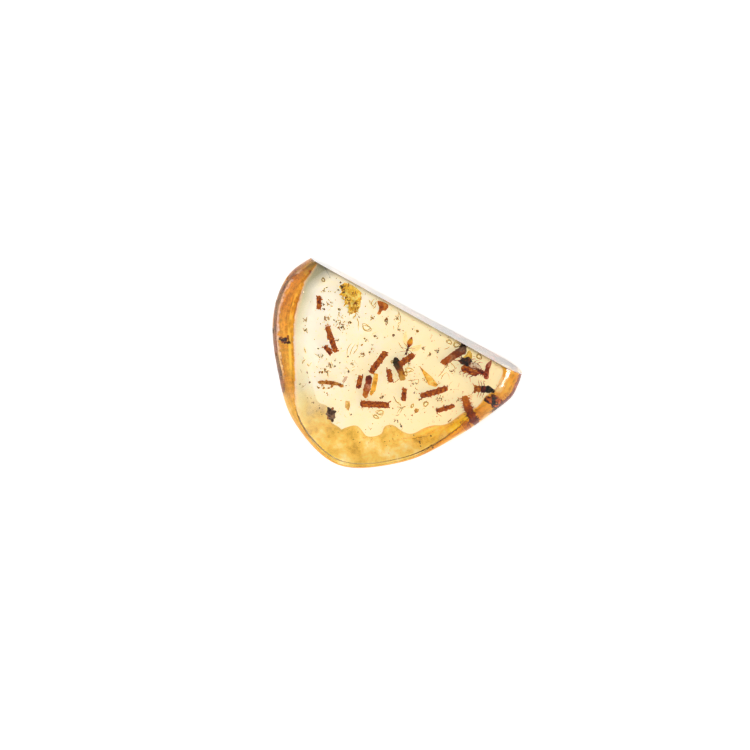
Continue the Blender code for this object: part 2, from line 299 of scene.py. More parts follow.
def amber_material():
    """Baltic amber, sawn and polished: clear pale honey with a glassy shine. Its outer skin on the rim is
    streaked orange to gold and colours what is seen through it. The saw cut is colourless and glossier, so it
    mirrors the white round it."""
    material, tree, shader = new_material("polished_baltic_amber", Transmission_Weight=1.0, IOR=1.54,
            Roughness=0.02)
    place = add_node(tree, "TexCoord").outputs["Object"]
    place = add_node(tree, "Mapping", {"Vector": place, "Scale": (1 / MM,) * 3}).outputs[0]
    x, y, z = (add_node(tree, "SeparateXYZ", {0: place}).outputs[axis] for axis in "XYZ")
    spot = {name: add_node(tree, "Attribute", attribute_name=name).outputs["Fac"]
            for name in ("around", "inset", "level", "front_edge", "back_edge", "front_skin", "back_skin",
            "sawn")}

    def ramp(factor, stops):
        return add_node(tree, "ValToRGB", {"Fac": factor}, stops=stops).outputs["Color"]

    def step(value, start, end, low=0.0, high=1.0):
        return add_node(tree, "MapRange", {"Value": value, 1: start, 2: end, 3: low, 4: high}).outputs[0]

    def blend(factor, first, second):
        return add_node(tree, "Mix", {0: factor, 6: first, 7: second}, data_type="RGBA").outputs[2]

    def maths(operation, first, second):
        return add_node(tree, "Math", {0: first, 1: second}, operation=operation).outputs[0]

    def times(first, *others):
        for other in others:
            first = maths("MULTIPLY", first, other)
        return first

    def noise(vector, scale, detail, roughness=0.6):
        return add_node(tree, "TexNoise", {"Vector": vector, "Scale": scale, "Detail": detail,
                "Roughness": roughness}).outputs["Fac"]

    # Streaks run along the rim, and mottles and broad clouds lie across them
    follow = add_node(tree, "CombineXYZ", {"X": spot["around"], "Y": spot["inset"],
            "Z": spot["level"]}).outputs[0]
    along = add_node(tree, "Mapping", {"Vector": follow, "Scale": (1.1, 1.7, 0.9)}).outputs[0]
    streaks = noise(along, 1.0, 5.0)
    mottles = noise(place, 1.5, 5.0, 0.65)
    clouds = noise(place, 0.32, 3.0, 0.5)
    both = add_node(tree, "Mix", {0: 0.38, 2: streaks, 3: mottles}).outputs[0]

    # The left skin's palest streaks are partly its own yellow and partly a painted highlight
    left_skin = ramp(both, "0.36 #7A2E00, 0.43 #AC5600, 0.49 #CC7402, 0.55 #E08C04, 0.61 #F2A60C, 0.7 #FFCE5C")
    right_skin = ramp(both, "0.38 #9A5400, 0.46 #DC8A00, 0.53 #F8A800, 0.62 #FFC828")
    gold = add_node(tree, "Mix", {0: 0.7, 2: mottles, 3: clouds}).outputs[0]
    bottom_skin = ramp(gold, "0.38 #B87A10, 0.45 #D49C20, 0.52 #E8B438, 0.58 #F2C860, 0.66 #F8DC94")
    olive_skin = ramp(step(spot["around"], 0.4, 3.2), "0 #38340A, 0.3 #6A6412, 0.6 #92891E, 1 #B0A432")
    to_bottom = step(spot["around"], 4.2, 5.4)
    to_right = step(spot["around"], 7.0, 8.0)
    front = blend(to_right, blend(to_bottom, left_skin, bottom_skin), right_skin)
    under_rim = step(spot["front_edge"], -0.3, 0.5)
    left_back = blend(under_rim, olive_skin, left_skin)
    back = blend(to_right, blend(to_bottom, left_back, bottom_skin), right_skin)

    # On the left a patchy pale band near the widest line is partly skin ground away, partly painted highlight
    near_left = step(spot["around"], 4.3, 3.9)
    wobble = step(mottles, 0.35, 0.65, -0.22, 0.22)
    reach = maths("ADD", spot["inset"], wobble)
    worn_band_and_highlight = times(step(reach, 0.25, 0.38), step(reach, 1.15, 0.9))
    broken = noise(add_node(tree, "Mapping", {"Vector": follow, "Scale": (1.9, 0.5, 0.6)}).outputs[0], 1.0,
            2.0)
    gaps = maths("ADD", broken, step(spot["around"], 2.2, 3.0, 0.0, 0.25))
    worn_band_and_highlight = times(worn_band_and_highlight, step(gaps, 0.48, 0.54), near_left, step(spot["around"], 1.0, 1.2))
    front = blend(worn_band_and_highlight, front, ramp(step(spot["around"], 3.2, 3.7), "0 #FFEEE4, 1 #FFE08C"))
    # All round, the outermost strip is a light orange. Broken yellow streaks follow the left rim's inner side
    front = blend(step(reach, 0.62, 0.30), front, linear("#FFB040"))
    yellow = times(step(spot["front_edge"], 0.95, 0.75), step(spot["front_edge"], 0.35, 0.55),
            step(broken, 0.45, 0.52), near_left)
    front = blend(yellow, front, linear("#FFC81E"))

    # The skin ends sharply on the front, softly on the back at the left and along ragged arcs at the bottom
    ragged = step(noise(place, 0.26, 0.3), 0.35, 0.65, -1.4, 1.4)
    ragged = times(ragged, step(spot["around"], 7.2, 7.9, 1.0, 0.25))
    front_line = maths("ADD", spot["front_edge"], step(mottles, 0.3, 0.7, -0.16, 0.16))
    front_mask = times(step(front_line, -0.04, 0.10), spot["front_skin"])
    back_line = maths("ADD", spot["back_edge"], times(ragged, to_bottom))
    soft = step(back_line, 0.0, 2.0)
    sharp = step(back_line, 0.0, 0.16)
    back_mask = add_node(tree, "Mix", {0: to_bottom, 2: soft, 3: sharp}).outputs[0]
    back_mask = times(back_mask, spot["back_skin"])
    # The bottom's gold is darker just inside its own line
    edge_shade = times(step(back_line, 0.55, 0.12), to_bottom)
    back = blend(times(edge_shade, 0.5), back, linear("#BE8A34"))
    is_front = step(spot["level"], -0.1, 0.1)
    mask = add_node(tree, "Mix", {0: is_front, 2: back_mask, 3: front_mask}).outputs[0]
    skin = blend(is_front, back, front)

    # The clear body is palest on the left and a little yellower towards the right
    hue = maths("ADD", step(x, -16.0, 14.0), step(clouds, 0.35, 0.65, -0.18, 0.18))
    body = ramp(hue, "0.05 #FCFAF4, 0.5 #FCF2D4, 1 #F8ECC8")
    tint = blend(mask, body, skin)

    # Painted shade: a dark line along the front edge of the saw cut, standing in for the edge's dark
    # refraction, and a painted soft shadow that fades from it into the face
    lean = (SAWN_SIDE_LEFT - SAWN_SIDE_RIGHT_TOP) / (2 * SLAB_HALF_LENGTH)
    to_cut = maths("ADD", times(x, lean), y)
    to_cut = maths("SUBTRACT", (SAWN_SIDE_LEFT + SAWN_SIDE_RIGHT_TOP) / 2, to_cut)
    line = times(step(to_cut, 0.95, 0.0), step(z, THICKNESS - 0.25, THICKNESS - 0.1))
    painted_edge_shade = ramp(step(to_cut, 0.0, 1.0), "0 #4E3A1C, 0.16 #6A5630, 0.3 #A49468, 0.55 #D8CFA8, 0.95 #FFFFFF")
    tint = blend(line, tint, add_node(tree, "Mix", {0: 1.0, 6: tint, 7: painted_edge_shade}, data_type="RGBA",
            blend_type="MULTIPLY").outputs[2])
    tint = blend(spot["sawn"], tint, linear("#FFFFFF"))
    tree.links.new(tint, shader.inputs["Base Color"])

    roughness = maths("MAXIMUM", step(mask, 0.0, 1.0, 0.015, 0.08), times(spot["sawn"], 0.12))
    tree.links.new(roughness, shader.inputs["Roughness"])
    tree.links.new(spot["sawn"], shader.inputs["Coat Weight"])
    height = times(both, mask)
    relief = add_node(tree, "Bump", {"Height": height, "Strength": 0.4, "Distance": 0.05 * MM}).outputs[0]
    tree.links.new(relief, shader.inputs["Normal"])

    absorption = add_node(tree, "VolumeAbsorption", {"Color": (0.983, 0.813, 0.10, 1.0), "Density": 18.0})
    output = tree.nodes["Material Output"]
    tree.links.new(absorption.outputs[0], output.inputs["Volume"])
    return material


# ---- the amber ----

def outline_stations(count):
    """Stations on the smooth closed curve through the outline's knots."""
    knots = np.array(OUTLINE)
    places = np.arange(count) * len(knots) / count
    span = places.astype(int)
    t = (places - span)[:, None]
    weights = (-0.5 * t + t ** 2 - 0.5 * t ** 3, 1.0 - 2.5 * t ** 2 + 1.5 * t ** 3,
            0.5 * t + 2.0 * t ** 2 - 1.5 * t ** 3, -0.5 * t ** 2 + 0.5 * t ** 3)
    return sum(w * knots[(span + k) % len(knots)] for w, k in zip(weights, (-1, 0, 1, 2)))


def sawn_side(x, z):
    """How far the polished saw cut lies from the X axis: upright at the left end, leaning in to the right."""
    share = (x + SLAB_HALF_LENGTH) / (2 * SLAB_HALF_LENGTH)
    top = SAWN_SIDE_LEFT + (SAWN_SIDE_RIGHT_TOP - SAWN_SIDE_LEFT) * share
    base = SAWN_SIDE_LEFT + (SAWN_SIDE_RIGHT_BASE - SAWN_SIDE_LEFT) * share
    return base + (top - base) * z / THICKNESS


def read_points(obj):
    points = np.empty(len(obj.data.vertices) * 3)
    obj.data.vertices.foreach_get("co", points)
    return points.reshape(-1, 3)


def write_points(obj, points):
    obj.data.vertices.foreach_set("co", points.ravel())
    obj.data.update()


def pressed_pebble():
    """The grown pebble before sawing: a sphere pressed out to the outline, its rim round, both sides flat."""
    start_fresh()
    bpy.ops.mesh.primitive_uv_sphere_add(segments=RIM_STATIONS, ring_count=RIM_RINGS, radius=1.0)
    pebble = bpy.context.object
    points = read_points(pebble)
    stations = outline_stations(RIM_STATIONS)
    ahead = np.roll(stations, -1, axis=0)[:, :2] - np.roll(stations, 1, axis=0)[:, :2]
    ahead /= np.linalg.norm(ahead, axis=1)[:, None]
    inward = np.stack([-ahead[:, 1], ahead[:, 0]], axis=1)
    turn = np.arctan2(points[:, 1], points[:, 0]) % (2 * math.pi)
    index = np.round(turn / (2 * math.pi) * RIM_STATIONS).astype(int) % RIM_STATIONS
    latitude = np.arcsin(np.clip(points[:, 2], -1, 1)) / (math.pi / 2)
    on_front = latitude > 0
    station = stations[index]
    bevel = np.where(on_front, station[:, 2], station[:, 3])
    girdle = station[:, 4]
    height = np.where(on_front, THICKNESS - girdle, girdle)
    rise = np.minimum(np.abs(latitude) / RIM_SHARE, 1.0) * math.pi / 2
    edge = station[:, :2] + inward[index] * (bevel * (1 - np.cos(rise)))[:, None]
    to_middle = np.clip((np.abs(latitude) - RIM_SHARE) / (1 - RIM_SHARE), 0, 1)[:, None]
    points[:, :2] = edge * (1 - to_middle)
    points[:, 2] = girdle + height * np.sin(rise) * np.sign(latitude)
    write_points(pebble, points)
    return pebble


def saw(pebble):
    """Saws the pebble along its twisted straight side, rounds the cut's edges a little and closes the cut."""
    points = read_points(pebble)
    points[:, 1] -= sawn_side(points[:, 0], points[:, 2])
    write_points(pebble, points)
    start_fresh(pebble)
    bpy.ops.object.mode_set(mode="EDIT")
    bpy.ops.mesh.select_mode(type="FACE")
    bpy.ops.mesh.select_all(action="SELECT")
    bpy.ops.mesh.bisect(plane_co=(0, 0, 0), plane_no=(0, 1, 0), use_fill=True, clear_outer=True)
    bpy.ops.mesh.bevel(offset=EDGE_ROUNDING, segments=2, affect="EDGES")
    for x in np.arange(-18.0, 18.5, 1.0):
        bpy.ops.object.mode_set(mode="OBJECT")
        for polygon in pebble.data.polygons:
            polygon.select = polygon.normal.y > 0.99
        bpy.ops.object.mode_set(mode="EDIT")
        bpy.ops.mesh.bisect(plane_co=(x, 0, 0), plane_no=(1, 0, 0))
    bpy.ops.object.mode_set(mode="OBJECT")
    points = read_points(pebble)
    points[:, 1] += sawn_side(points[:, 0], points[:, 2])
    write_points(pebble, points)


# Small chips out of the sawn edge and the rim: place and size
CHIPS = (
    ((-13.6, 12.75, 5.55), (0.45, 0.22, 0.12)),
    ((-7.6, 12.55, 5.6), (0.35, 0.2, 0.12)),
    ((1.8, 12.45, 5.6), (0.3, 0.18, 0.12)),
    ((14.4, 12.3, 5.6), (0.4, 0.2, 0.14)),
    ((-16.95, 0.35, 3.6), (0.4, 0.5, 0.4)),
    ((-18.9, 8.3, 3.9), (0.25, 0.6, 0.35)),
    ((-18.6, 4.3, 3.4), (0.2, 0.35, 0.3)),
    ((-15.0, -2.6, 3.9), (0.25, 0.4, 0.3)),
    ((-13.6, -4.7, 3.4), (0.3, 0.35, 0.3)),
    ((-12.2, -6.4, 3.6), (0.3, 0.4, 0.25)),
    ((-15.6, 7.8, 5.52), (0.16, 0.16, 0.06)),
    ((-16.5, 9.9, 5.42), (0.2, 0.3, 0.08)),
    ((-16.2, 10.9, 5.38), (0.25, 0.2, 0.08)),
    ((16.2, 9.2, 5.45), (0.2, 0.14, 0.08)),
    ((15.6, 7.1, 5.5), (0.16, 0.12, 0.06)),
)


def chip_off(slab):
    """Breaks the small chips out of the slab."""
    lumps = []
    for place, size in CHIPS:
        start_fresh()
        bpy.ops.mesh.primitive_ico_sphere_add(subdivisions=2, radius=1.0)
        lump = bpy.context.object
        for vert in lump.data.vertices:
            vert.co *= random.uniform(0.75, 1.15)
        lump.scale = size
        lump.location = place
        lumps.append(lump)
    start_fresh()
    for lump in lumps:
        lump.select_set(True)
    bpy.context.view_layer.objects.active = lumps[0]
    bpy.ops.object.transform_apply(location=True, rotation=True, scale=True)
    tool = join(lumps)
    apply_modifier(slab, "BOOLEAN", object=tool, operation="DIFFERENCE", solver="EXACT")
    bpy.data.objects.remove(tool)


def mark_rim(slab):
    """Writes on each point how far round the widest line, and how far in from it, it lies, for the colours."""
    stations = outline_stations(RIM_MARKS)
    tree = kdtree.KDTree(len(stations))
    for number, (x, y) in enumerate(stations[:, :2]):
        tree.insert((x, y, 0.0), number)
    tree.balance()
    points = read_points(slab)
    found = [tree.find((x, y, 0.0))[1:] for x, y, _ in points]
    number = np.array([f[0] for f in found])
    inset = np.array([f[1] for f in found])
    around = number * len(OUTLINE) / len(stations)
    skin = np.array(SKIN)
    marks = {"around": around, "inset": inset, "level": points[:, 2] - stations[number, 4],
            "front_edge": stations[number, 2] - inset, "back_edge": np.interp(around, skin[:, 0],
            skin[:, 3]) - inset, "front_skin": np.interp(around, skin[:, 0], skin[:, 1]),
            "back_skin": np.interp(around, skin[:, 0], skin[:, 2]),
            "sawn": (np.abs(sawn_side(points[:, 0], points[:, 2]) - points[:, 1]) < 0.02).astype(float),}
    for name, values in marks.items():
        mark = slab.data.attributes.new(name, "FLOAT", "POINT")
        mark.data.foreach_set("value", values.astype(np.float32))


def make_amber():
    slab = pressed_pebble()
    saw(slab)
    chip_off(slab)
    mark_rim(slab)
    coloured(slab, amber_material())
    finish_piece(slab, "amber", ("amber_lower", "amber_upper"), angle=18)


# ---- what is sealed in it ----

PELLETS = (
    ((-13.4, 8.2, 3.4), (-12.5, 6.4, 3.1), 0.75),
    ((-10.2, 4.8, 3.6), (-7.2, 2.0, 3.9), 0.85),
    ((-9.2, 1.9, 2.0), (-7.7, 1.3, 1.9), 0.75),
    ((-0.7, 5.6, 3.1), (-1.2, 1.7, 3.7), 0.95),
    ((-2.3, 0.7, 3.3), (-1.8, -1.2, 3.6), 0.80),
    ((0.9, 3.5, 3.6), (2.1, 1.9, 3.3), 0.80),
    ((3.2, 7.2, 2.7), (2.0, 4.8, 2.5), 0.95),
    ((4.4, 2.0, 1.9), (5.1, 0.2, 1.7), 0.75),
    ((7.0, 2.1, 2.1), (10.0, 5.1, 2.3), 0.90),
    ((10.1, 1.3, 3.2), (12.1, 3.4, 3.5), 0.70),
    ((-0.4, -3.2, 2.5), (3.5, -1.3, 2.3), 1.00),
)


def make_pellets():
    """Frass: blunt rods of packed chewed wood, granular all over, with crumbs and fibres standing out."""
    # Chewed and packed wood: dull red-brown, speckled crumb by crumb
    frass = mottled("chewed_wood_frass", "0.34 #6C2400, 0.44 #AC4C00, 0.53 #CC6800, 0.66 #EC9024", grain=0.24,
            bump=0.05, Roughness=0.7)
    for number, (start, end, width) in enumerate(PELLETS, start=1):
        start, end = Vector(start), Vector(end)
        length = (end - start).length
        forward = (end - start).normalized()
        side = forward.cross(Vector((0, 0, 1))).normalized()
        up = side.cross(forward)
        parts = [egg(start, end, width * 0.93, width * 0.85, blunt=5.0, sides=24, rings=24)]
        for _ in range(int(length * 13)):
            along = random.uniform(-0.01, 1.01)
            angle = random.uniform(0, 2 * math.pi)
            out = side * math.cos(angle) + up * math.sin(angle)
            spot = start + forward * along * length + out * width * random.uniform(0.38, 0.47)
            size = random.uniform(0.12, 0.24)
            lean = (forward * random.uniform(-1, 1) + out * random.uniform(0.0, 0.5)).normalized()
            parts.append(egg(spot, spot + lean * size * 1.4, size, sides=8, rings=6))
        for _ in range(int(length * 1.6)):
            along = random.uniform(0.0, 1.0)
            out = (side * random.choice((-1, 1)) + up * random.uniform(-0.6, 0.6)).normalized()
            spot = start + forward * along * length + out * width * 0.4
            parts.append(stem([spot, spot + out * 0.16 + forward * random.uniform(-0.1, 0.1)], [0.055, 0.03],
                    sides=1))
        rod = one_skin(parts, 0.055, smoothing=1)
        roughen(rod, 0.22, 0.16)
        finish_piece(coloured(rod, frass), f"frass_{number}", (f"pellet_{number}",))


def wing(root, tip, width, belly_side, membrane, vein):
    """A folded-out wing: a thin cambered membrane with a rim vein and three veins."""
    root, tip = Vector(root), Vector(tip)
    length = (tip - root).length
    forward = (tip - root).normalized()
    across = Vector((0, 0, 1)).cross(forward) * belly_side

    def on_wing(u, v):
        """The place a share u along the wing and a share v across it."""
        return root + forward * u * length + across * v * width + Vector((0, 0, 0.08 * math.sin(math.pi * u)))

    profile = []
    count = 18
    for step in range(count + 1):
        u = step / count
        profile.append((u, 0.16 * math.sin(math.pi * min(u * 1.1, 1.0)) + 0.04))
    for step in range(count, -1, -1):
        u = step / count
        profile.append((u, -0.84 * math.sin(math.pi * u ** 1.15) ** 0.7 if 0 < u < 1 else 0.0))
    places = [on_wing(u, v) for u, v in profile]
    start_fresh()
    bpy.ops.mesh.primitive_circle_add(vertices=len(places), radius=1.0, fill_type="NGON")
    sheet = bpy.context.object
    for vert, place in zip(sheet.data.vertices, places):
        vert.co = place
    apply_modifier(sheet, "TRIANGULATE")
    apply_modifier(sheet, "SOLIDIFY", thickness=0.012, offset=0.0)
    coloured(sheet, membrane)
    rim = coloured(stem(places + places[:1], [0.012] * (len(places) + 1), sides=1), vein)
    pieces = [sheet, rim]
    for share in (-0.15, -0.35, -0.6):
        path = []
        for step in range(1, 9):
            u = 0.05 + 0.88 * step / 9
            path.append(on_wing(u, share * math.sin(math.pi * u ** 0.8)))
        pieces.append(coloured(stem(path, [0.010] * len(path), sides=1), vein))
    return pieces


def make_winged_insect():
    """The tiny winged insect near the middle: amber-brown pointed belly, thin waist, two clear wings."""
    level = 4.2
    tip, waist = Vector((1.65, 9.40, level)), Vector((1.90, 7.95, level))
    # Thin belly cuticle: glows orange to yellow in the light from behind, dark at its tip and at the waist
    belly_skin = mottled("amber_brown_cuticle",
            "0.14 #7A2A04, 0.26 #C25A06, 0.36 #FF9C10, 0.68 #FFC430, 0.8 #C25A06, 0.9 #7A2A04", grain=0.25,
            run=(waist, tip), run_share=0.85, Roughness=0.3)
    # Thicker cuticle of head, chest and legs: plain dark brown
    dark = mottled("dark_brown_cuticle", "0.3 #3A1606, 0.7 #8A4214", grain=0.2, Roughness=0.35)
    # Wing membrane and veins: a faint cream tint, and a little more of it
    membrane = tinted("clear_wing_membrane", "0.3 #FCF2D0, 0.7 #FFFAE8", grain=0.5)
    vein = tinted("wing_vein", "0.3 #F0DCB0, 0.7 #F6E8C8", grain=0.3)
    rings = []
    for step, width in enumerate((0.34, 0.64, 0.86, 0.92, 0.76, 0.46)):
        share = step / 6
        rings.append(egg(tip.lerp(waist, share - 0.03), tip.lerp(waist, share + 0.27), width, width * 0.75))
    belly = coloured(one_skin(rings, 0.03, smoothing=1), belly_skin)
    chest = eggs(((1.89, 8.05, level), (1.95, 7.60, level), 0.20, 0.22),
            ((1.92, 7.72, level), (2.02, 7.15, level), 0.36, 0.38),
            ((2.00, 7.22, level), (2.06, 6.95, level), 0.16),
            ((2.00, 7.04, level), (2.14, 6.62, level), 0.36, 0.30))
    for side in (-1, 1):
        chest.append(egg((2.07 + 0.12 * side, 6.90, level + 0.04), (2.09 + 0.14 * side, 6.74, level + 0.04),
                0.14))
    pieces = [coloured(one_skin(chest, 0.025, smoothing=1), dark), belly]
    for side in (-1, 1):
        feeler = [(2.10 + 0.07 * side, 6.66, level), (2.16 + 0.25 * side, 6.35, level),
                (2.14 + 0.55 * side, 6.20, level), (2.10 + 0.80 * side, 6.28, level - 0.05)]
        pieces.append(coloured(stem(feeler, [0.024, 0.020, 0.016, 0.010], sides=1), dark))
        for step in range(3):
            hip = Vector((1.96, 7.62 - 0.20 * step, level - 0.12))
            knee = hip + Vector((0.42 * side, 0.30 - 0.28 * step, -0.10))
            ankle = hip + Vector((0.78 * side, 0.42 - 0.50 * step, -0.40))
            foot = hip + Vector((1.05 * side, 0.36 - 0.60 * step, -0.45))
            pieces.append(coloured(stem([hip, knee, ankle, foot], [0.040, 0.030, 0.020, 0.010], sides=1),
                    dark))
    pieces += wing((1.86, 7.60, level + 0.18), (0.50, 9.75, level + 0.3), 0.66, -1, membrane, vein)
    pieces += wing((2.02, 7.55, level + 0.18), (3.42, 9.10, level + 0.3), 0.78, 1, membrane, vein)
    finish_piece(join(pieces), "winged_insect_body", ("winged_insect",))


def insect_leg(hip, knee, ankle, foot, thickness, material):
    """A jointed leg with short bristles."""
    joints = [Vector(p) for p in (hip, knee, ankle, foot)]
    pieces = [stem(joints, [thickness, thickness * 0.75, thickness * 0.5, thickness * 0.2], sides=1)]
    for first, last in zip(joints[:-1], joints[1:]):
        for _ in range(3):
            root = first.lerp(last, random.uniform(0.2, 0.9))
            out = Vector((random.uniform(-1, 1), random.uniform(-1, 1),
                    random.uniform(-0.5, 0.5))).normalized()
            pieces.append(stem([root, root + out * thickness * 3.5], [thickness * 0.22, thickness * 0.05],
                    sides=0))
    return coloured(join(pieces), material)


def make_beetle():
    """The stout insect near the right end: black head, orange-brown body, glassy wing cases with painted
    highlights, red tail.
    """
    # Thick head cuticle: nearly black, with a small sheen
    black = mottled("black_brown_cuticle", "0.36 #140702, 0.48 #3A1806, 0.58 #7A380E, 0.7 #A86020", grain=0.4,
            Roughness=0.3, Specular_IOR_Level=0.15)
    # Thinner body cuticle: orange-brown where the light comes through
    brown = mottled("orange_brown_cuticle", "0.34 #4A1602, 0.46 #984006, 0.56 #C46410, 0.7 #F0A040",
            grain=0.35, Roughness=0.35)
    # Smooth hard wing cases: red-brown, with pale pink-white patches painted in as highlights
    glassy = mottled("wing_case_painted_highlights",
            "0.36 #5A2010, 0.45 #9A5442, 0.51 #F0CCC4, 0.57 #FFF8F8, 0.66 #9A5444", grain=0.5, bump=0.03,
            Roughness=0.12, Specular_IOR_Level=0.5, Coat_Weight=0.6)
    # Tail cuticle: dull dark red
    red = mottled("dark_red_cuticle", "0.36 #4A0E04, 0.5 #98300C, 0.66 #D06028", grain=0.3, Roughness=0.35)
    head = one_skin(eggs(((9.55, 9.88, 3.3), (10.55, 9.75, 3.3), 1.05, 0.85),
            ((10.0, 9.95, 3.35), (11.45, 10.05, 3.35), 1.38, 1.05),
            ((9.70, 10.15, 3.35), (9.42, 10.35, 3.4), 0.34, None, 2.0, 0.4),
            ((9.70, 9.62, 3.35), (9.30, 9.50, 3.3), 0.34, None, 2.0, 0.4),
            ((10.2, 10.4, 3.4), (10.9, 10.6, 3.4), 0.6)), 0.045, lumps=((0.3, 0.16),))
    trunk = eggs(((10.35, 9.25, 3.2), (12.95, 9.15, 3.2), 1.35, 1.0, 2.4),
            ((10.25, 8.95, 3.1), (11.5, 8.75, 3.1), 0.95, 0.8),
            ((10.3, 9.80, 3.1), (12.7, 9.70, 3.1), 1.35, 0.9))
    trunk += eggs(*(((10.9 + 0.36 * step, 8.66, 3.1), (11.12 + 0.36 * step, 9.7, 3.1), 0.36, 0.9)
            for step in range(6)))
    trunk = one_skin(trunk, 0.05, lumps=((0.25, 0.12),))
    cases = one_skin(eggs(((10.95, 10.05, 3.70), (12.55, 9.88, 3.65), 0.95, 0.76, 2.3),
            ((11.55, 10.38, 3.6), (13.05, 9.95, 3.50), 0.72, 0.66, 2.3)), 0.045, lumps=((0.4, 0.10),))
    tail = []
    for step in range(5):
        x = 12.50 + 0.30 * step
        wide = 0.92 - 0.06 * step
        tail.append(egg((x, 9.62 + 0.02 * step, 3.2), (x + 0.42, 9.64 + 0.02 * step, 3.2), wide, 0.62))
        for side in (-1, 1):
            root = Vector((x + 0.22, 9.63 + side * wide * 0.42, 3.2))
            tail.append(egg(root, root + Vector((0.06, side * 0.30, 0.0)), 0.17, taper=0.3, sides=10,
                    rings=8))
    tail = one_skin(tail, 0.04, smoothing=1)
    pieces = [coloured(trunk, brown), coloured(head, black), coloured(cases, glassy), coloured(tail, red)]
    for step in range(4):
        x = 10.7 + 0.55 * step
        pieces.append(insect_leg((x, 8.9, 3.0), (x - 0.05, 8.45, 3.1), (x - 0.30, 8.10, 2.8),
                (x + 0.05, 7.80, 2.6), 0.085, brown))
        if step < 3:
            pieces.append(insect_leg((x + 0.3, 10.3, 3.1), (x + 0.45, 10.75, 3.2), (x + 0.7, 10.9, 2.9),
                    (x + 0.9, 11.0, 2.7), 0.06, brown))
    for side, bend in ((1, 0.25), (-1, 0.10)):
        path = [(9.55, 9.86 + 0.14 * side, 3.4), (9.15, 9.85 + 0.36 * side, 3.5),
                (8.85, 9.80 + (0.36 + bend) * side, 3.4)]
        pieces.append(coloured(stem(path, [0.06, 0.045, 0.06], sides=1), brown))
    finish_piece(join(pieces), "beetle_body", ("beetle",))


def make_dark_insect():
    """The small insect below it: brown head with spread feelers, dark red chest, black pointed belly."""
    # Three thicknesses of cuticle: the head lets brown light through, the chest a deep red, the belly none
    brown = mottled("brown_head_cuticle", "0.36 #4A1804, 0.46 #984808, 0.56 #C87818, 0.68 #F8B850",
            grain=0.34, Roughness=0.4)
    red = mottled("dark_red_chest_cuticle", "0.36 #1E0804, 0.5 #481208, 0.66 #842C10", grain=0.3,
            Roughness=0.25)
    black = mottled("black_belly_cuticle", "0.4 #060503, 0.55 #1C180E, 0.68 #5A5424", grain=0.3,
            Roughness=0.22)
    ahead = Vector((0.91, 0.41, 0.0))
    origin = Vector((13.55, 7.02, 2.9))
    left = Vector((-0.41, 0.91, 0.0))

    def at(along, side, up=0.0):
        return origin + ahead * along + left * side + Vector((0, 0, up))

    head = one_skin(eggs((at(-0.12, 0.05), at(0.62, 0.0), 0.86, 0.65),
            (at(0.25, 0.0), at(1.05, 0.0), 1.06, 0.76), (at(-0.15, 0.42), at(0.35, 0.30), 0.36),
            (at(-0.10, -0.36), at(0.35, -0.3), 0.34), (at(0.1, -0.3), at(0.0, -0.75), 0.3)), 0.045,
            lumps=((0.25, 0.2),))
    chest = one_skin(eggs((at(0.85, 0.0), at(1.80, 0.0), 1.08, 0.85, 2.6)), 0.045, lumps=((0.3, 0.10),))
    belly = one_skin(eggs((at(1.50, 0.05), at(2.50, 0.0), 1.12, 0.85, 2.6),
            (at(2.15, 0.05), at(3.0, -0.10), 0.74, 0.6, 2.0, 0.6),
            (at(2.35, -0.25), at(3.0, -0.42), 0.28, None, 2.0, 0.4)), 0.045, lumps=((0.28, 0.14),))
    pieces = [coloured(head, brown), coloured(chest, red), coloured(belly, black)]
    for side in (1, -1):
        pieces.append(coloured(stem([at(0.1, 0.3 * side), at(-0.25, 0.6 * side), at(-0.38, 0.85 * side, 0.1)],
                [0.07, 0.05, 0.03], sides=1), brown))
        for step in range(3):
            along = 0.65 + 0.38 * step
            pieces.append(insect_leg(at(along, 0.4 * side, -0.1), at(along - 0.05, 0.8 * side),
                    at(along - 0.2, 1.1 * side, -0.2), at(along - 0.1, 1.3 * side, -0.3), 0.06, brown))
    finish_piece(join(pieces), "dark_insect_body", ("dark_insect",))


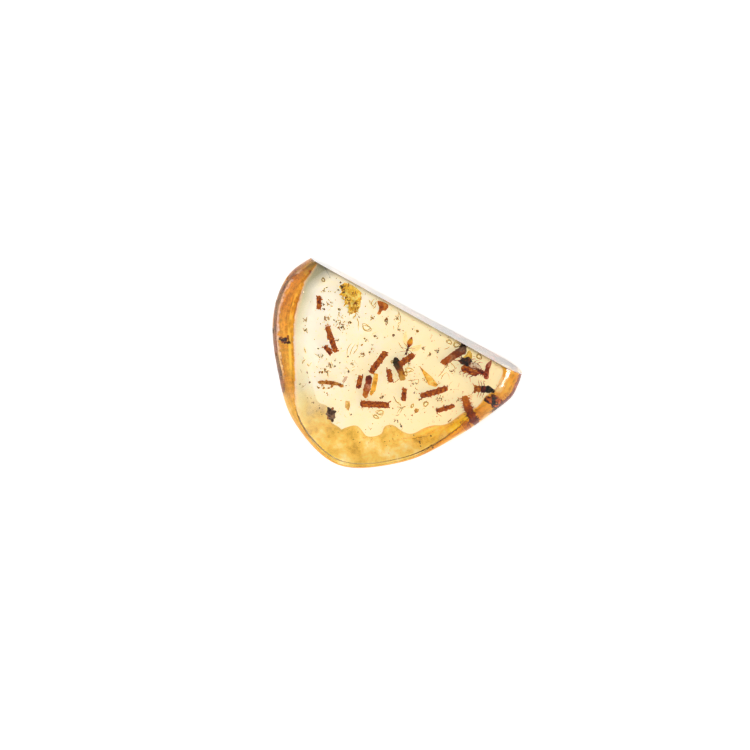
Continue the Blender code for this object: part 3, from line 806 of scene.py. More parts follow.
def make_bristly_insect():
    """The long bristly body at the lower right, brown and darkening towards the rim."""
    # Bristly cuticle: golden brown at the thin end, nearly black at the rim
    skin = mottled("bristly_brown_cuticle",
            "0.15 #F09820, 0.36 #D0700C, 0.48 #A04C08, 0.56 #7A3406, "
            "0.66 #B06010, 0.78 #3A1C08, 0.9 #140C06", grain=0.3, run=((12.8, 5.3, 2.8), (16.0, 2.7, 2.8)),
            run_share=0.55, Roughness=0.5)
    spine = [Vector(p) for p in ((12.85, 5.20, 2.8), (13.35, 4.70, 2.8), (13.9, 4.15, 2.85),
            (14.5, 3.62, 2.95), (15.05, 3.15, 3.0), (15.55, 2.85, 3.0))]
    parts = []
    for step, (start, end) in enumerate(zip(spine[:-1], spine[1:])):
        grow = (end - start) * 0.30
        width = (1.0, 1.12, 1.20, 1.15, 1.0)[step]
        parts.append(egg(start - grow, end + grow, width, width * 0.75, blunt=2.4))
        side = Vector((-(end - start).y, (end - start).x, 0)).normalized()
        for way in (-1, 1):
            root = start.lerp(end, 0.5) + side * way * width * 0.38
            parts.append(egg(root, root + side * way * 0.34 + Vector((0.05, 0, 0)), 0.24, taper=0.4, sides=10,
                    rings=8))
    pieces = [coloured(one_skin(parts, 0.05, smoothing=1, lumps=((0.24, 0.24),)), skin)]
    for start, end in zip(spine[:-1], spine[1:]):
        side = Vector((-(end - start).y, (end - start).x, 0)).normalized()
        for way in (-1, 1):
            for _ in range(6):
                root = start.lerp(end, random.random()) + side * way * 0.46
                tip = root + side * way * random.uniform(0.3, 0.6)
                tip += Vector((random.uniform(-.2, .2), random.uniform(-.2, .2), random.uniform(-.3, .3)))
                pieces.append(coloured(stem([root, tip], [0.04, 0.01], sides=0), skin))
    for way, reach in ((1, 1.15), (-1, 0.85)):
        hip = Vector((13.3, 4.85, 2.8))
        pieces.append(insect_leg(hip, hip + Vector((0.15, 0.55 * way, 0)),
                hip + Vector((0.30, 0.9 * way, -0.1)), hip + Vector((0.65, reach * way, -0.2)), 0.07, skin))
    finish_piece(join(pieces), "bristly_insect_body", ("bristly_insect",))


def make_crumpled_membrane():
    """A crumpled bright yellow membrane: a thin torn sheet under many folded ribs."""
    # Torn dry membrane: see-through yellow, with folds that catch bright yellow light or stack to deep gold
    pale = tinted("crumpled_yellow_membrane", "0.38 #D8A020, 0.48 #F0C848, 0.6 #FCE890", grain=0.6)
    bright = mottled("bright_yellow_fold", "0.36 #E0A010, 0.46 #FFC81E, 0.54 #FFE45A, 0.62 #FFF6B4",
            grain=0.5, bump=0.05, Roughness=0.35)
    deep = tinted("deep_gold_fold", "0.36 #A87408, 0.5 #D09C14, 0.66 #E8BC34", grain=0.5)
    outline = ((-11.0, 11.75), (-10.2, 11.95), (-9.0, 11.9), (-8.05, 11.65), (-7.77, 10.9), (-7.22, 9.73),
            (-7.35, 8.62), (-8.1, 7.9), (-8.6, 8.3), (-8.9, 9.3), (-9.6, 9.0), (-9.9, 9.9), (-10.89, 9.7),
            (-10.7, 10.36), (-11.5, 10.8), (-11.2, 11.3))
    pieces = [coloured(flake(outline, 3.2, 0.10, 0.06, ((0.7, 0.9), (0.28, 0.6))), pale)]
    for number in range(72):
        share = random.random() ** 0.8
        middle = Vector((-9.6 + 2.0 * share + random.gauss(0, 0.75 - 0.3 * share),
                11.0 - 2.6 * share + random.gauss(0, 0.45), 3.35))
        middle.x = min(max(middle.x, -11.2), -7.3)
        middle.y = min(middle.y, 11.7)
        turn = random.gauss(-0.95, 0.7)
        reach = random.uniform(0.16, 0.48)
        way = Vector((math.cos(turn), math.sin(turn), random.uniform(-0.3, 0.3)))
        across = Vector((-way.y, way.x, 0)) * random.uniform(-0.14, 0.14)
        path = [middle - way * reach, middle - way * reach * 0.3 + across,
                middle + way * reach * 0.35 - across * 0.5, middle + way * reach]
        thick = random.uniform(0.05, 0.115)
        fold = stem(path, [thick * 0.5, thick, thick * 0.9, thick * 0.4], sides=1)
        pieces.append(coloured(fold, deep if number % 3 == 0 else bright))
    finish_piece(join(pieces), "crumpled_membrane", ("crumpled_flake",))


def seal_scrap(node, skin, grain, lumps, rows, twig=(), smoothing=2):
    """A plant scrap: one rough skin over its eggs and, where given, a bent tube. It stands for its node."""
    parts = [stem(*twig)] if twig else []
    parts += eggs(*rows)
    finish_piece(coloured(one_skin(parts, grain, smoothing, lumps), skin), node + "_piece", (node,))


def make_plant_scraps():
    """Twig, leaf, husks, seeds and grains."""
    # Charred bark: orange-brown at one end, greyish and then black at the other, rough and dull
    # Its pale pinkish-tan patches, #D0946A, are a painted highlight
    charred = mottled("charred_twig_bark",
            "0.2 #DC7810, 0.34 #C86010, 0.42 #D0946A, 0.48 #A85010, "
            "0.6 #8E4414, 0.68 #8A6A5E, 0.77 #3A2C24, 0.9 #1C1814", grain=0.55, bump=0.06,
            run=((7.6, 8.0, 2.4), (9.2, 12.1, 2.4)), run_share=0.5, Roughness=0.6)
    twig = ((7.68, 8.12, 2.3), (7.95, 8.75, 2.35), (8.45, 9.75, 2.4), (8.95, 10.6, 2.45), (9.22, 11.2, 2.5),
            (9.12, 11.7, 2.5), (8.98, 11.95, 2.5))
    seal_scrap("charred_twig", charred, 0.06, ((0.6, 0.4), (0.2, 0.2)),
            (((7.30, 7.95, 2.3), (7.9, 8.7, 2.4), 0.85, 0.8),
            ((9.4, 11.3, 2.5), (8.75, 12.2, 2.5), 0.85, 0.8), ((8.7, 10.9, 2.6), (9.9, 11.1, 2.6), 0.8),
            ((7.7, 9.2, 2.4), (8.2, 9.4, 2.4), 0.5), ((9.0, 9.7, 2.4), (8.7, 10.2, 2.4), 0.6)),
            twig=(twig, (0.46, 0.50, 0.54, 0.62, 0.66, 0.58, 0.40), 4))

    # Rotten bark: black crust with bright orange where it is thin
    bark = mottled("rough_dark_bark", "0.38 #14120C, 0.46 #3A3426, 0.52 #8A4A18, 0.58 #F09018, 0.7 #FFB83C",
            grain=0.6, bump=0.08, Roughness=0.75)
    seal_scrap("rim_bark", bark, 0.055, ((0.4, 0.45), (0.15, 0.14)),
            (((15.5, 6.3, 2.8), (16.7, 6.9, 2.9), 0.85, 0.8), ((16.1, 6.9, 2.9), (17.0, 7.5, 2.9), 0.9, 0.8),
            ((16.8, 7.0, 2.9), (17.6, 7.4, 3.0), 0.7), ((16.5, 6.1, 2.9), (17.3, 6.6, 2.9), 0.65),
            ((17.0, 6.5, 2.9), (17.5, 7.0, 2.9), 0.5)))

    # Dry seed or soil scrap: grey-brown with a warm edge
    seed = mottled("jagged_dark_scrap", "0.38 #3A2620, 0.48 #6A4C44, 0.56 #A08880, 0.66 #C87C38", grain=0.5,
            Roughness=0.5)
    spikes = ((-4.1, -6.1, -0.5, 0.25), (-3.7, -5.9, 0.05, 0.55), (-3.3, -6.1, 0.45, 0.35),
            (-3.0, -6.8, 0.5, 0.1), (-3.9, -6.8, -0.45, -0.2), (-3.5, -7.2, -0.2, -0.5),
            (-2.9, -7.3, 0.3, -0.4))
    rows = [((-4.15, -5.95, 3.0), (-2.85, -7.3, 3.1), 1.25, 0.6)]
    rows += [((x, y, 3.05), (x + out_x * 0.75, y + out_y * 0.75, 3.1), 0.62, 0.30, 2.0, 0.35)
            for x, y, out_x, out_y in spikes]
    seal_scrap("dark_seed", seed, 0.045, ((0.25, 0.14),), rows, smoothing=1)

    # Dead leaf: dull rust brown, mottled with lighter orange
    leaf = mottled("brown_leaf_scrap", "0.34 #9A4004, 0.47 #D06C10, 0.58 #EC9030, 0.7 #F8B45C", grain=0.5,
            bump=0.04, Roughness=0.6)
    scrap = flake(((-5.42, 11.72), (-4.95, 11.92), (-4.38, 12.02), (-3.70, 12.0), (-3.50, 11.60),
            (-3.62, 10.98), (-4.05, 10.82), (-4.10, 10.64), (-4.05, 10.20), (-4.22, 9.98), (-4.56, 10.0),
            (-4.58, 10.62), (-4.74, 11.0), (-5.15, 11.35)), 3.9, 0.18, 0.045, ((0.5, 0.3), (0.15, 0.08)))
    finish_piece(coloured(scrap, leaf), "leaf_scrap", ("leaf_flake",))

    # Smooth seed case: dark red-brown, with pale pink patches painted in as its waxy sheen
    case_skin = mottled("seed_case_painted_sheen", "0.36 #6A1C08, 0.48 #B84412, 0.57 #E89884, 0.66 #A83818",
            grain=0.45, Roughness=0.2, Coat_Weight=0.3)
    stalk = ((14.22, 9.30, 2.2), (14.08, 9.75, 2.2), (13.84, 10.30, 2.2), (13.74, 10.85, 2.25),
            (13.72, 11.35, 2.3), (13.76, 11.85, 2.3))
    seal_scrap("seed_case", case_skin, 0.05, ((0.3, 0.16),),
            (((14.40, 9.00, 2.2), (14.05, 9.80, 2.2), 0.80),
            ((13.68, 10.4, 2.25), (13.74, 11.5, 2.3), 0.74, 0.62)),
            twig=(stalk, (0.36, 0.42, 0.32, 0.36, 0.30, 0.12), 4))

    # Bare wood splinter: matt golden brown
    wood = mottled("splinter_wood", "0.36 #8E3C06, 0.48 #CC7A1C, 0.6 #F0B058", grain=0.35, Roughness=0.6)
    chip = ((-7.0, -3.1, 2.4), (-6.3, -2.75, 2.4), (-5.2, -2.35, 2.3), (-4.0, -1.95, 2.2))
    seal_scrap("splinter", wood, 0.05, ((0.25, 0.26),),
            (((-7.5, -3.35, 2.4), (-6.8, -3.1, 2.4), 0.5), ((-6.6, -2.4, 2.4), (-6.3, -2.9, 2.4), 0.45),
            ((-5.3, -2.5, 2.3), (-5.4, -3.2, 2.3), 0.36), ((-4.6, -2.3, 2.3), (-3.8, -2.1, 2.2), 0.42)),
            twig=(chip, (0.24, 0.32, 0.30, 0.16), 3))

    # Papery husk: olive and brown at one end, golden where it thins out
    husk_skin = mottled("mottled_husk_skin",
            "0.24 #3A3410, 0.38 #6A4A14, 0.48 #A04C0C, 0.6 #E0A038, 0.78 #FFDC80", grain=0.45, bump=0.05,
            run=((1.1, 5.1, 1.5), (3.8, 2.8, 1.5)), run_share=0.55, Roughness=0.4)
    husk = ((1.25, 5.0, 1.5), (1.75, 4.6, 1.55), (2.35, 4.15, 1.55), (2.95, 3.6, 1.6), (3.6, 2.98, 1.6))
    seal_scrap("mottled_husk", husk_skin, 0.06, ((0.45, 0.32), (0.15, 0.09)),
            (((0.9, 5.4, 1.5), (1.5, 4.8, 1.5), 0.8, 0.7),), twig=(husk, (0.50, 0.58, 0.52, 0.52, 0.42), 4))

    # Older resin: dark red, with a pale pinkish patch in the middle that is a painted highlight, and an orange
    # end
    grain_skin = mottled("half_clear_resin_grain",
            "0.26 #6A1C06, 0.4 #B44812, 0.48 #F0B09C, 0.56 #D06A18, 0.78 #FFB444", grain=0.45,
            run=((-1.1, 1.0, 1.6), (-0.2, -2.0, 1.6)), run_share=0.45, Roughness=0.25)
    seal_scrap("red_grain", grain_skin, 0.05, ((0.35, 0.3),),
            (((-1.25, 1.20, 1.6), (-0.65, -0.2, 1.65), 1.05, 0.75),
            ((-0.95, 0.3, 1.65), (-0.25, -1.7, 1.7), 1.05, 0.72),
            ((-0.55, -1.1, 1.7), (-0.15, -2.15, 1.7), 0.85, 0.6)))


# ---- loose hairs, specks and small scraps ----

# Clusters of star-shaped hairs: x, y, spread; rings: x, y, size; single hairs: both ends' x, y
STAR_HAIRS = (
    (-8.91, 6.36, 0.75), (-7.96, 5.86, 0.6), (-11.64, 7.89, 0.45), (-10.73, 5.8, 0.45), (-13.07, 9.18, 0.22),
    (-13.47, 3.96, 0.22), (-12.73, 2.58, 0.22), (-7.14, -1.21, 0.45), (-7.13, -0.25, 0.22),
    (-3.55, 3.64, 0.3), (2.01, -0.59, 0.3), (9.72, 3.09, 0.52), (-2.85, 9.73, 0.3), (-3.23, 6.89, 0.18),
    (-7.48, 6.92, 0.15), (1.91, 10.48, 0.22), (6.02, 9.3, 0.27), (5.31, 8.37, 0.18), (3.95, 8.63, 0.18),
    (-8.72, 0.32, 0.3), (-7.89, 3.51, 0.22), (-4.92, 9.04, 0.3), (-1.77, 10.76, 0.3), (-0.52, 9.38, 0.22),
    (-4.28, 5.64, 0.22), (-4.22, 1.4, 0.18), (-2.77, 4.41, 0.15), (5.07, 3.38, 0.3), (6.44, 4.63, 0.22),
    (9.41, 7.78, 0.37), (8.2, 7.98, 0.3), (12.19, 4.34, 0.18), (3.13, 5.74, 0.3), (-9.75, 9.83, 0.3),
    (-9.69, 7.82, 0.3),
)
HAIR_RINGS = (
    (-13.98, 10.59, 0.3), (-4.94, 7.33, 0.75), (8.06, 11.56, 0.52), (11.85, 11.55, 0.45), (8.26, 1.44, 0.42),
    (6.61, 0.29, 0.3), (3.62, 4.81, 0.6), (3.41, 4.1, 0.37), (6.89, 11.37, 0.45), (2.86, -2.94, 0.6),
    (2.62, -3.76, 0.45), (0.82, 4.66, 0.22),
)
LOOSE_HAIRS = (
    (-6.83, 8.01, -5.79, 6.36), (-6.26, 11.22, -5.11, 10.65), (-5.43, 10.31, -5.6, 11.58),
    (-5.51, 2.24, -5.78, 4.31), (-5.19, 2.58, -5.25, 4.6), (-4.86, 2.93, -5.06, 4.87),
    (-11.77, 0.37, -11.15, -0.4), (-10.85, -2.03, -10.81, -1.32), (-10.27, -1.54, -9.6, -1.52),
    (-1.93, 11.69, -0.8, 9.75), (4.24, 3.35, 5.52, 4.31), (5.52, 4.31, 5.61, 3.33),
    (3.47, 0.22, 5.28, -0.61), (5.85, -0.29, 5.17, -1.86), (4.67, -0.94, 5.77, -0.77),
    (12.49, 0.92, 12.65, 1.43), (6.09, -1.36, 6.56, -1.62), (7.93, 5.95, 8.14, 7.78),
    (8.47, 5.9, 8.76, 7.26), (8.44, 8.79, 9.74, 7.96), (6.73, 10.08, 7.31, 10.91), (8.44, 4.69, 8.75, 5.38),
    (4.79, 6.12, 5.61, 5.55), (10.22, 1.05, 11.29, 0.95), (-7.12, 0.17, -6.5, -0.35),
    (-4.86, 0.71, -4.05, 0.47), (-3.79, 0.61, -3.47, 0.96), (2.64, 2.23, 3.01, 3.11),
    (5.69, 2.86, 6.3, 2.68), (-11.55, 0.11, -11.04, -0.39), (-10.78, -1.23, -10.83, -1.95),
    (-10.15, -1.67, -9.69, -1.81), (-9.74, -1.26, -9.78, -1.82), (-9.83, -4.73, -9.59, -4.9),
    (-9.06, -4.71, -9.28, -5.22), (-3.99, 1.09, -3.75, 1.51), (-7.34, -5.93, -7.14, -6.11),
    (-3.25, -4.1, -2.97, -3.9), (-9.9, 0.13, -9.1, 0.08), (-6.55, 11.18, -6.08, 10.75),
    (-5.92, 11.7, -5.77, 10.72), (-5.45, 11.49, -5.69, 10.57), (-1.74, 11.74, -1.76, 11.14),
    (-1.65, 11.2, -1.09, 10.52), (-1.01, 10.47, -1.03, 9.97), (-1.03, 9.97, -0.72, 9.65),
    (-6.91, 7.85, -6.15, 6.79), (-1.63, 9.45, -1.27, 8.96), (0.3, 7.75, 1.51, 7.13),
    (3.51, 0.18, 4.22, -0.41), (4.22, -0.41, 5.22, -0.65), (5.38, -0.76, 5.78, -0.25),
    (5.5, -0.8, 5.48, -1.69), (5.48, -1.69, 5.02, -2.09), (6.35, -0.04, 6.78, -0.1),
    (7.33, -0.59, 7.68, 0.58), (7.44, -0.43, 7.61, 0.16), (7.95, 1.52, 8.13, 1.91), (9.75, 2.89, 10.4, 2.94),
    (9.62, 3.5, 9.68, 2.84), (12.39, 0.69, 12.65, 1.47), (13.2, 5.54, 13.64, 6.17),
    (8.93, -4.12, 9.49, -3.53), (9.49, -3.53, 10.13, -3.08), (7.69, -4.7, 8.37, -4.53),
)
# Crumbs that stand out: x, y, size; first the dark ones, then the red-brown ones
DARK_CRUMBS = (
    (-6.75, -6.39, 0.13), (-8.57, -3.9, 0.16), (-9.74, 1.19, 0.14), (-9.3, 0.36, 0.12), (-6.72, 0.83, 0.1),
    (-5.98, 0.89, 0.13), (-6.39, 0.03, 0.12), (-4.25, 0.31, 0.17), (-3.5, -1.74, 0.1), (-2.87, -2.18, 0.1),
    (-5.44, -6.64, 0.1), (-9.57, -2.75, 0.1), (-9.77, -4.85, 0.1), (-0.82, -5.18, 0.12), (-12.2, 7.41, 0.16),
    (-11.79, 6.65, 0.2), (-12.97, 9.84, 0.13), (-11.6, 11.46, 0.16), (-11.05, 10.98, 0.2),
    (-10.51, 10.34, 0.14), (-11.59, 9.8, 0.1), (-11.26, 10.37, 0.12), (-9.65, 6.1, 0.14),
    (-8.12, 5.71, 0.13), (-11.23, 4.61, 0.13), (-9.32, 6.04, 0.1), (-13.32, 11.41, 0.07),
    (-12.39, 11.76, 0.08), (1.2, 10.49, 0.1), (-0.92, 8.21, 0.18), (-6.6, 10.08, 0.08), (6.12, 9.25, 0.14),
    (3.54, 11.52, 0.08), (5.24, 11.61, 0.1), (-6.67, 8.23, 0.1), (5.42, -2.85, 0.12), (5.75, -2.82, 0.12),
    (6.55, -3.12, 0.15), (6.41, -2.95, 0.1), (10.12, -3.97, 0.13), (11.91, -3.51, 0.12), (11.1, -2.26, 0.12),
    (5.92, 2.22, 0.1), (7.03, -1.75, 0.08), (10.59, -4.4, 0.08), (8.88, -3.47, 0.08), (-5.41, 2.28, 0.14),
    (-2.94, 5.51, 0.1),
)
RED_CRUMBS = (
    (-7.07, -4.07, 0.2), (-6.55, -3.39, 0.16), (-6.33, -3.72, 0.18), (-5.56, -3.29, 0.17),
    (-5.44, -2.84, 0.15), (-7.25, -0.1, 0.16), (-6.95, -0.38, 0.12), (-7.41, -1.07, 0.15),
    (-7.05, -1.11, 0.13), (-6.75, -1.49, 0.12), (-5.93, -4.18, 0.1), (-5.55, -4.17, 0.13),
    (-5.24, -4.3, 0.12), (-7.28, -1.49, 0.15), (-7.58, -1.65, 0.15), (-7.91, -1.78, 0.16),
    (-11.04, 5.69, 0.2), (-10.7, 5.97, 0.16), (-11.19, 5.8, 0.13), (-8.54, 5.38, 0.14), (-7.49, 6.88, 0.16),
    (-8.75, 6.15, 0.14), (-8.36, 6.07, 0.12), (-8.1, 6.21, 0.1), (-11.71, 7.77, 0.14), (-11.97, 7.88, 0.1),
    (-9.07, 5.48, 0.1), (-8.54, 8.12, 0.1), (-8.01, 8.22, 0.14), (-7.82, 8.42, 0.12), (2.02, 10.54, 0.14),
    (0.03, 9.52, 0.12), (-4.9, 9.09, 0.12), (3.94, 8.6, 0.14), (5.3, 8.41, 0.14), (-2.8, 4.99, 0.12),
    (-3.33, 6.9, 0.13), (-2.79, 6.71, 0.13), (-3.44, 3.66, 0.16), (-4.36, 4.73, 0.15), (-2.53, 9.4, 0.14),
    (-2.91, 9.93, 0.2), (7.09, 1.68, 0.2), (12.6, 1.2, 0.12), (12.5, 0.85, 0.12), (8.13, 1.91, 0.1),
    (9.37, 1.6, 0.1), (8.66, 0.38, 0.1), (10.64, 0.68, 0.09), (12.09, 4.06, 0.1), (7.21, -1.0, 0.1),
    (4.22, -1.41, 0.1),
)


def add_thread(points, faces, path, radii, closed=False):
    """A three-sided thread along the path, closed at its ends or into a ring."""
    first = len(points)
    count = len(path)
    for step, (place, radius) in enumerate(zip(path, radii)):
        ahead = path[(step + 1) % count] if closed or step + 1 < count else place
        behind = path[step - 1] if closed or step > 0 else place
        forward = (ahead - behind).normalized()
        side = forward.cross(Vector((0.05, 0.03, 1.0))).normalized()
        up = side.cross(forward)
        for corner in range(3):
            angle = 2 * math.pi * corner / 3
            points.append(place + (up * math.cos(angle) - side * math.sin(angle)) * radius)
    for step in range(count if closed else count - 1):
        near, far = first + 3 * step, first + 3 * ((step + 1) % count)
        for corner in range(3):
            onward = (corner + 1) % 3
            faces.append((near + corner, near + onward, far + onward, far + corner))
    if not closed:
        last = first + 3 * (count - 1)
        faces.append((first + 2, first + 1, first))
        faces.append((last, last + 1, last + 2))


def add_crumb(points, faces, place, size):
    """An uneven crumb of eight faces."""
    first = len(points)
    for axis in range(3):
        for way in (1, -1):
            corner = Vector((0, 0, 0))
            corner[axis] = way * size * random.uniform(0.6, 1.3)
            corner += Vector([random.uniform(-0.3, 0.3) * size for _ in range(3)])
            points.append(place + corner)
    for x in (0, 1):
        for y in (2, 3):
            for z in (4, 5):
                turn = (x + (y - 2) + (z - 4)) % 2
                corners = (first + x, first + y, first + z)
                faces.append(corners if turn == 0 else corners[::-1])


def mesh_piece(name, points, faces, material, slot):
    mesh = bpy.data.meshes.new(name)
    mesh.from_pydata([tuple(p) for p in points], [], faces)
    piece = bpy.data.objects.new(name, mesh)
    bpy.context.scene.collection.objects.link(piece)
    coloured(piece, material)
    return finish_piece(piece, name, angle=50)


def inside_face(x, y):
    """True where the slab is clear over its full depth."""
    low_right = (14.2 - x) * 6.9 + (y + 1.0) * 5.2 > 6.0
    left = x > -14.2 + 0.035 * (y - 6.5) ** 2
    low_left = y > -1.0 * (x + 15.2) + 0.2 if x < -8.0 else y > -8.5
    bottom = y > -9.5 + abs(x) * 0.25
    return low_right and left and low_left and bottom and y < 11.9 and x < 15.5


def random_place(low=1.0, high=4.6):
    while True:
        x, y = random.uniform(-14.5, 15.5), random.uniform(-9.5, 11.9)
        if inside_face(x, y):
            return Vector((x, y, random.uniform(low, high)))


def bent_path(start, end, bow, steps=7):
    """Points from start to end with a sideways bow."""
    side = (end - start).cross(Vector((0, 0, 1))).normalized()
    return [start.lerp(end, s / (steps - 1)) + side * bow * math.sin(math.pi * s / (steps - 1))
            for s in range(steps)]


def make_hairs():
    """Star-shaped plant hairs, single hairs and curled rings, golden brown against the clear amber."""
    points, faces = [], []

    def add_star(middle, reach):
        for _ in range(random.randint(5, 8)):
            out = Vector((random.gauss(0, 1), random.gauss(0, 1), random.gauss(0, 0.5))).normalized()
            tip = middle + out * reach * random.uniform(0.6, 1.2)
            add_thread(points, faces, [middle - out * 0.02, middle.lerp(tip, 0.5), tip],
                    [0.046, 0.036, 0.012])

    for x, y, spread in STAR_HAIRS:
        level = random.uniform(1.5, 4.2)
        for _ in range(3 + int(spread * 22)):
            middle = Vector((random.gauss(x, spread * 0.6), random.gauss(y, spread * 0.6),
                    random.gauss(level, 0.2)))
            add_star(middle, random.uniform(0.09, 0.20))
    for _ in range(190):
        add_star(random_place(), random.uniform(0.05, 0.15))
    for x, y, size in HAIR_RINGS:
        level = random.uniform(2.0, 4.0)
        lean, squash, turn = random.uniform(-0.4, 0.4), random.uniform(0.5, 0.8), random.uniform(0, math.pi)
        for _ in range(2):
            ring = []
            for step in range(18):
                angle = 2 * math.pi * step / 18
                reach = size * (1 + 0.12 * math.sin(3 * angle + lean * 9))
                u, v = reach * math.cos(angle), reach * squash * math.sin(angle)
                ring.append(Vector((x + u * math.cos(turn) - v * math.sin(turn),
                        y + u * math.sin(turn) + v * math.cos(turn), level + lean * v)))
            add_thread(points, faces, ring, [0.062] * len(ring), closed=True)
            size, turn, level = size * 0.72, turn + 0.4, level + 0.1
    for x0, y0, x1, y1 in LOOSE_HAIRS:
        level = random.uniform(1.5, 4.2)
        start, end = Vector((x0, y0, level)), Vector((x1, y1, level + random.uniform(-0.4, 0.4)))
        path = bent_path(start, end, random.uniform(-0.2, 0.2) * (end - start).length)
        add_thread(points, faces, path, [0.04, 0.055, 0.06, 0.055, 0.05, 0.04, 0.015])
    for _ in range(90):
        start = random_place()
        turn, length = random.uniform(0, 2 * math.pi), random.uniform(0.25, 0.9)
        end = start + Vector((math.cos(turn) * length, math.sin(turn) * length, random.uniform(-0.2, 0.2)))
        if inside_face(end.x, end.y):
            add_thread(points, faces, bent_path(start, end, random.uniform(-0.3, 0.3) * length, 5),
                    [0.02, 0.03, 0.03, 0.024, 0.008])
    # Hair walls are thin and half clear: each is a golden-brown line, palest where it is thin
    golden = tinted("golden_plant_hair", "0.36 #B8982E, 0.48 #CCB04C, 0.58 #DCC474, 0.7 #ECDA9C", grain=1.2)
    mesh_piece("plant_hairs", points, faces, golden, "yellow_flake")


def make_specks():
    """Crumbs of soil and frass, the larger ones where they stand out and fine dust all over."""
    dark, red = ([], []), ([], [])
    for places, (points, faces) in ((DARK_CRUMBS, dark), (RED_CRUMBS, red)):
        for x, y, size in places:
            for _ in range(3):
                place = Vector((random.gauss(x, size * 0.5), random.gauss(y, size * 0.5),
                        random.uniform(3.1, 3.5)))
                add_crumb(points, faces, place, size * random.uniform(0.7, 1.1))
    points, faces = dark
    for _ in range(16):
        place = Vector((random.gauss(-14.6, 0.35), random.gauss(0.1, 0.30), random.uniform(2.6, 3.6)))
        add_crumb(*(dark if random.random() < 0.4 else red), place, random.uniform(0.14, 0.32))
    for _ in range(22):
        place = Vector((random.gauss(-11.0, 0.35), random.gauss(10.9, 0.4), random.uniform(2.8, 4.2)))
        add_crumb(points, faces, place, random.uniform(0.05, 0.14))
    for x, y, spread in STAR_HAIRS:
        for _ in range(2 + int(spread * 16)):
            place = Vector((random.gauss(x, spread), random.gauss(y, spread), random.uniform(1.5, 4.2)))
            if inside_face(place.x, place.y):
                add_crumb(*(dark if random.random() < 0.15 else red), place, random.uniform(0.035, 0.09))
    for number in range(620):
        add_crumb(*(dark if number % 6 == 0 else red), random_place(0.8, 4.8), random.uniform(0.018, 0.055))
    # Soil and chewed wood: matt crumbs, near black to brown, and red-brown to gold
    soil = mottled("dark_crumbs", "0.35 #20120A, 0.5 #5A3210, 0.65 #9A5C1C", grain=0.9, Roughness=0.7)
    wood = mottled("red_brown_crumbs", "0.35 #8A4A04, 0.5 #BE7E10, 0.65 #E0A83C", grain=0.9, Roughness=0.7)
    mesh_piece("dark_specks", *dark, soil, "dark_cuticle")
    mesh_piece("red_brown_specks", *red, wood, "frass")


def make_small_scraps():
    """Pinkish and golden see-through scraps too thin for solids of their own."""
    # Thin plant skin and resin films: each only tints the light, pink, gold or tan
    pink = tinted("pinkish_thin_flake", "0.3 #B89890, 0.5 #D8C0B8, 0.7 #E8D8D0", grain=0.4)
    gold = tinted("golden_clear_scrap", "0.36 #C88A1C, 0.46 #E8B440, 0.56 #F4CC6C, 0.66 #FCE4A0", grain=0.7)
    tan = tinted("tan_thin_scrap", "0.36 #B8863C, 0.5 #DCB470, 0.66 #F0D8A4", grain=0.4)
    smear = tinted("golden_resin_smear", "0.36 #B8903C, 0.5 #E0BC58, 0.66 #F4DC8C", grain=0.5)
    # Outline, depth, thickness, fineness of the mesh, size and depth of the wrinkles, material
    scraps = ((((13.93, 1.44), (14.18, 1.96), (14.8, 2.22), (15.25, 2.08), (15.0, 1.56), (14.41, 1.24)), 2.6,
            0.10, 0.05, 0.4, 0.2, pink), (((-4.37, -1.54), (-4.34, -0.61), (-3.96, -0.33), (-3.85, -0.96),
            (-4.01, -1.65)), 3.0, 0.08, 0.04, 0.3, 0.2, pink),
            (((4.67, 6.12), (5.92, 5.81), (7.12, 5.55), (8.51, 4.94), (8.38, 4.48), (7.9, 4.38), (7.22, 4.24),
            (6.61, 4.67), (5.76, 5.27)), 3.2, 0.08, 0.045, 0.5, 0.3, gold),
            (((9.75, 10.16), (10.01, 10.94), (9.98, 11.46), (10.22, 11.73), (10.73, 11.42), (11.01, 10.99),
            (11.08, 10.49), (10.51, 10.28)), 2.8, 0.08, 0.045, 0.4, 0.3, smear),
            (((-0.78, 1.86), (-0.13, 2.06), (0.25, 1.2), (0.72, -0.38), (0.51, -1.4), (0.15, -1.29),
            (-0.19, 0.04), (-0.52, 1.08)), 2.2, 0.08, 0.045, 0.5, 0.3, gold),
            (((-2.57, -3.77), (-1.92, -3.57), (-1.54, -4.12), (-1.4, -4.96), (-2.12, -4.74)), 3.0, 0.06, 0.04,
            0.3, 0.3, tan), (((7.2, 0.25), (7.75, 0.35), (7.85, -0.15), (7.5, -0.45), (7.15, -0.2)), 3.0,
            0.06, 0.04, 0.3, 0.3, tan),)
    pieces = [coloured(flake(outline, level, thickness, fineness, ((size, depth),)), skin)
            for outline, level, thickness, fineness, size, depth, skin in scraps]
    finish_piece(join(pieces), "thin_scraps")


# ---- stage, light and camera ----

# Distances of the lamp and of the camera from the slab, in metres
LAMP_DISTANCE = 0.40
CAMERA_DISTANCE = 0.315


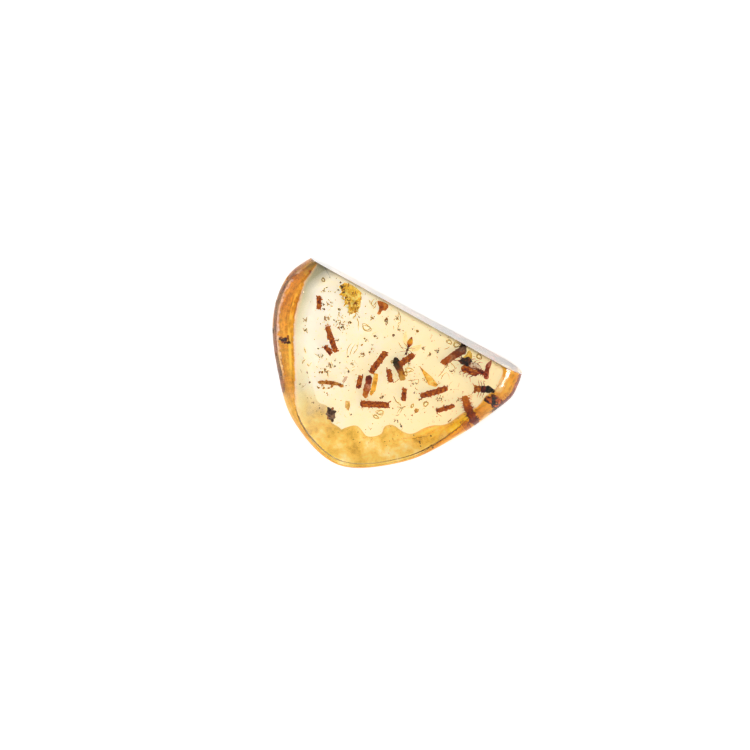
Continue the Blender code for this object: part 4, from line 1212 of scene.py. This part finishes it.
def light_stage():
    """A plain white floor that glows softly like a light table, a light tent that is dimmer straight above,
    and one soft box that glints on the rounded right corner. The box lights reflections alone, because
    through the slab it would throw a bright stripe."""
    start_fresh()
    bpy.ops.mesh.primitive_plane_add(size=3.0, location=(0, 0, -0.15 * MM))
    floor = bpy.context.object
    floor.name = "floor"
    # Matt white paper lit from below: an even pale ground
    paper, _, _ = new_material("white_paper", Base_Color=(0.86, 0.86, 0.86, 1.0), Roughness=0.9,
            Emission_Color=(1.0, 1.0, 1.0, 1.0), Emission_Strength=0.56)
    coloured(floor, paper)

    world = bpy.data.worlds.new("studio")
    bpy.context.scene.world = world
    world.use_nodes = True
    tree = world.node_tree
    upward = add_node(tree, "SeparateXYZ", {0: add_node(tree, "TexCoord").outputs["Generated"]}).outputs["Z"]
    strength = add_node(tree, "MapRange", {"Value": upward, 1: 0.72, 2: 0.92, 3: 0.95, 4: 0.40}).outputs[0]
    tree.links.new(strength, tree.nodes["Background"].inputs["Strength"])
    tree.nodes["Background"].inputs["Color"].default_value = (1.0, 1.0, 1.0, 1.0)

    lamp = bpy.data.lights.new("right_box", "AREA")
    lamp.shape = "SQUARE"
    lamp.size = 0.15
    lamp.energy = 1.3
    holder = bpy.data.objects.new("right_box", lamp)
    holder.visible_diffuse = False
    holder.visible_transmission = False
    bpy.context.scene.collection.objects.link(holder)
    direction = Vector((0.52, 0.14, 0.84)).normalized()
    holder.location = direction * LAMP_DISTANCE
    holder.rotation_mode = "QUATERNION"
    holder.rotation_quaternion = direction.to_track_quat("Z", "Y")


def set_camera():
    """Looks down on the slab, tilted a little to the sawn side and turned so that side slopes to the right."""
    tilt, roll = math.radians(6.5), math.radians(28.35)
    toward_camera = Vector((0.0, math.sin(tilt), math.cos(tilt)))
    across = Vector((0.0, math.cos(tilt), -math.sin(tilt)))
    right = Vector((math.cos(roll), 0, 0)) + across * math.sin(roll)
    up = across * math.cos(roll) - Vector((math.sin(roll), 0, 0))
    aim = (right * 0.18 + up * 1.35) * MM
    camera = bpy.data.cameras.new("camera")
    camera.lens = 100.0
    camera.sensor_width = 36.0
    camera.clip_start = 0.01
    holder = bpy.data.objects.new("camera", camera)
    bpy.context.scene.collection.objects.link(holder)
    turn = Matrix((right, up, toward_camera)).transposed()
    holder.matrix_world = Matrix.Translation(aim + toward_camera * CAMERA_DISTANCE) @ turn.to_4x4()
    bpy.context.scene.camera = holder


make_amber()
make_pellets()
make_winged_insect()
make_beetle()
make_dark_insect()
make_bristly_insect()
make_plant_scraps()
make_crumpled_membrane()
make_hairs()
make_specks()
make_small_scraps()
light_stage()
set_camera()
bpy.context.scene.view_settings.view_transform = "Standard"
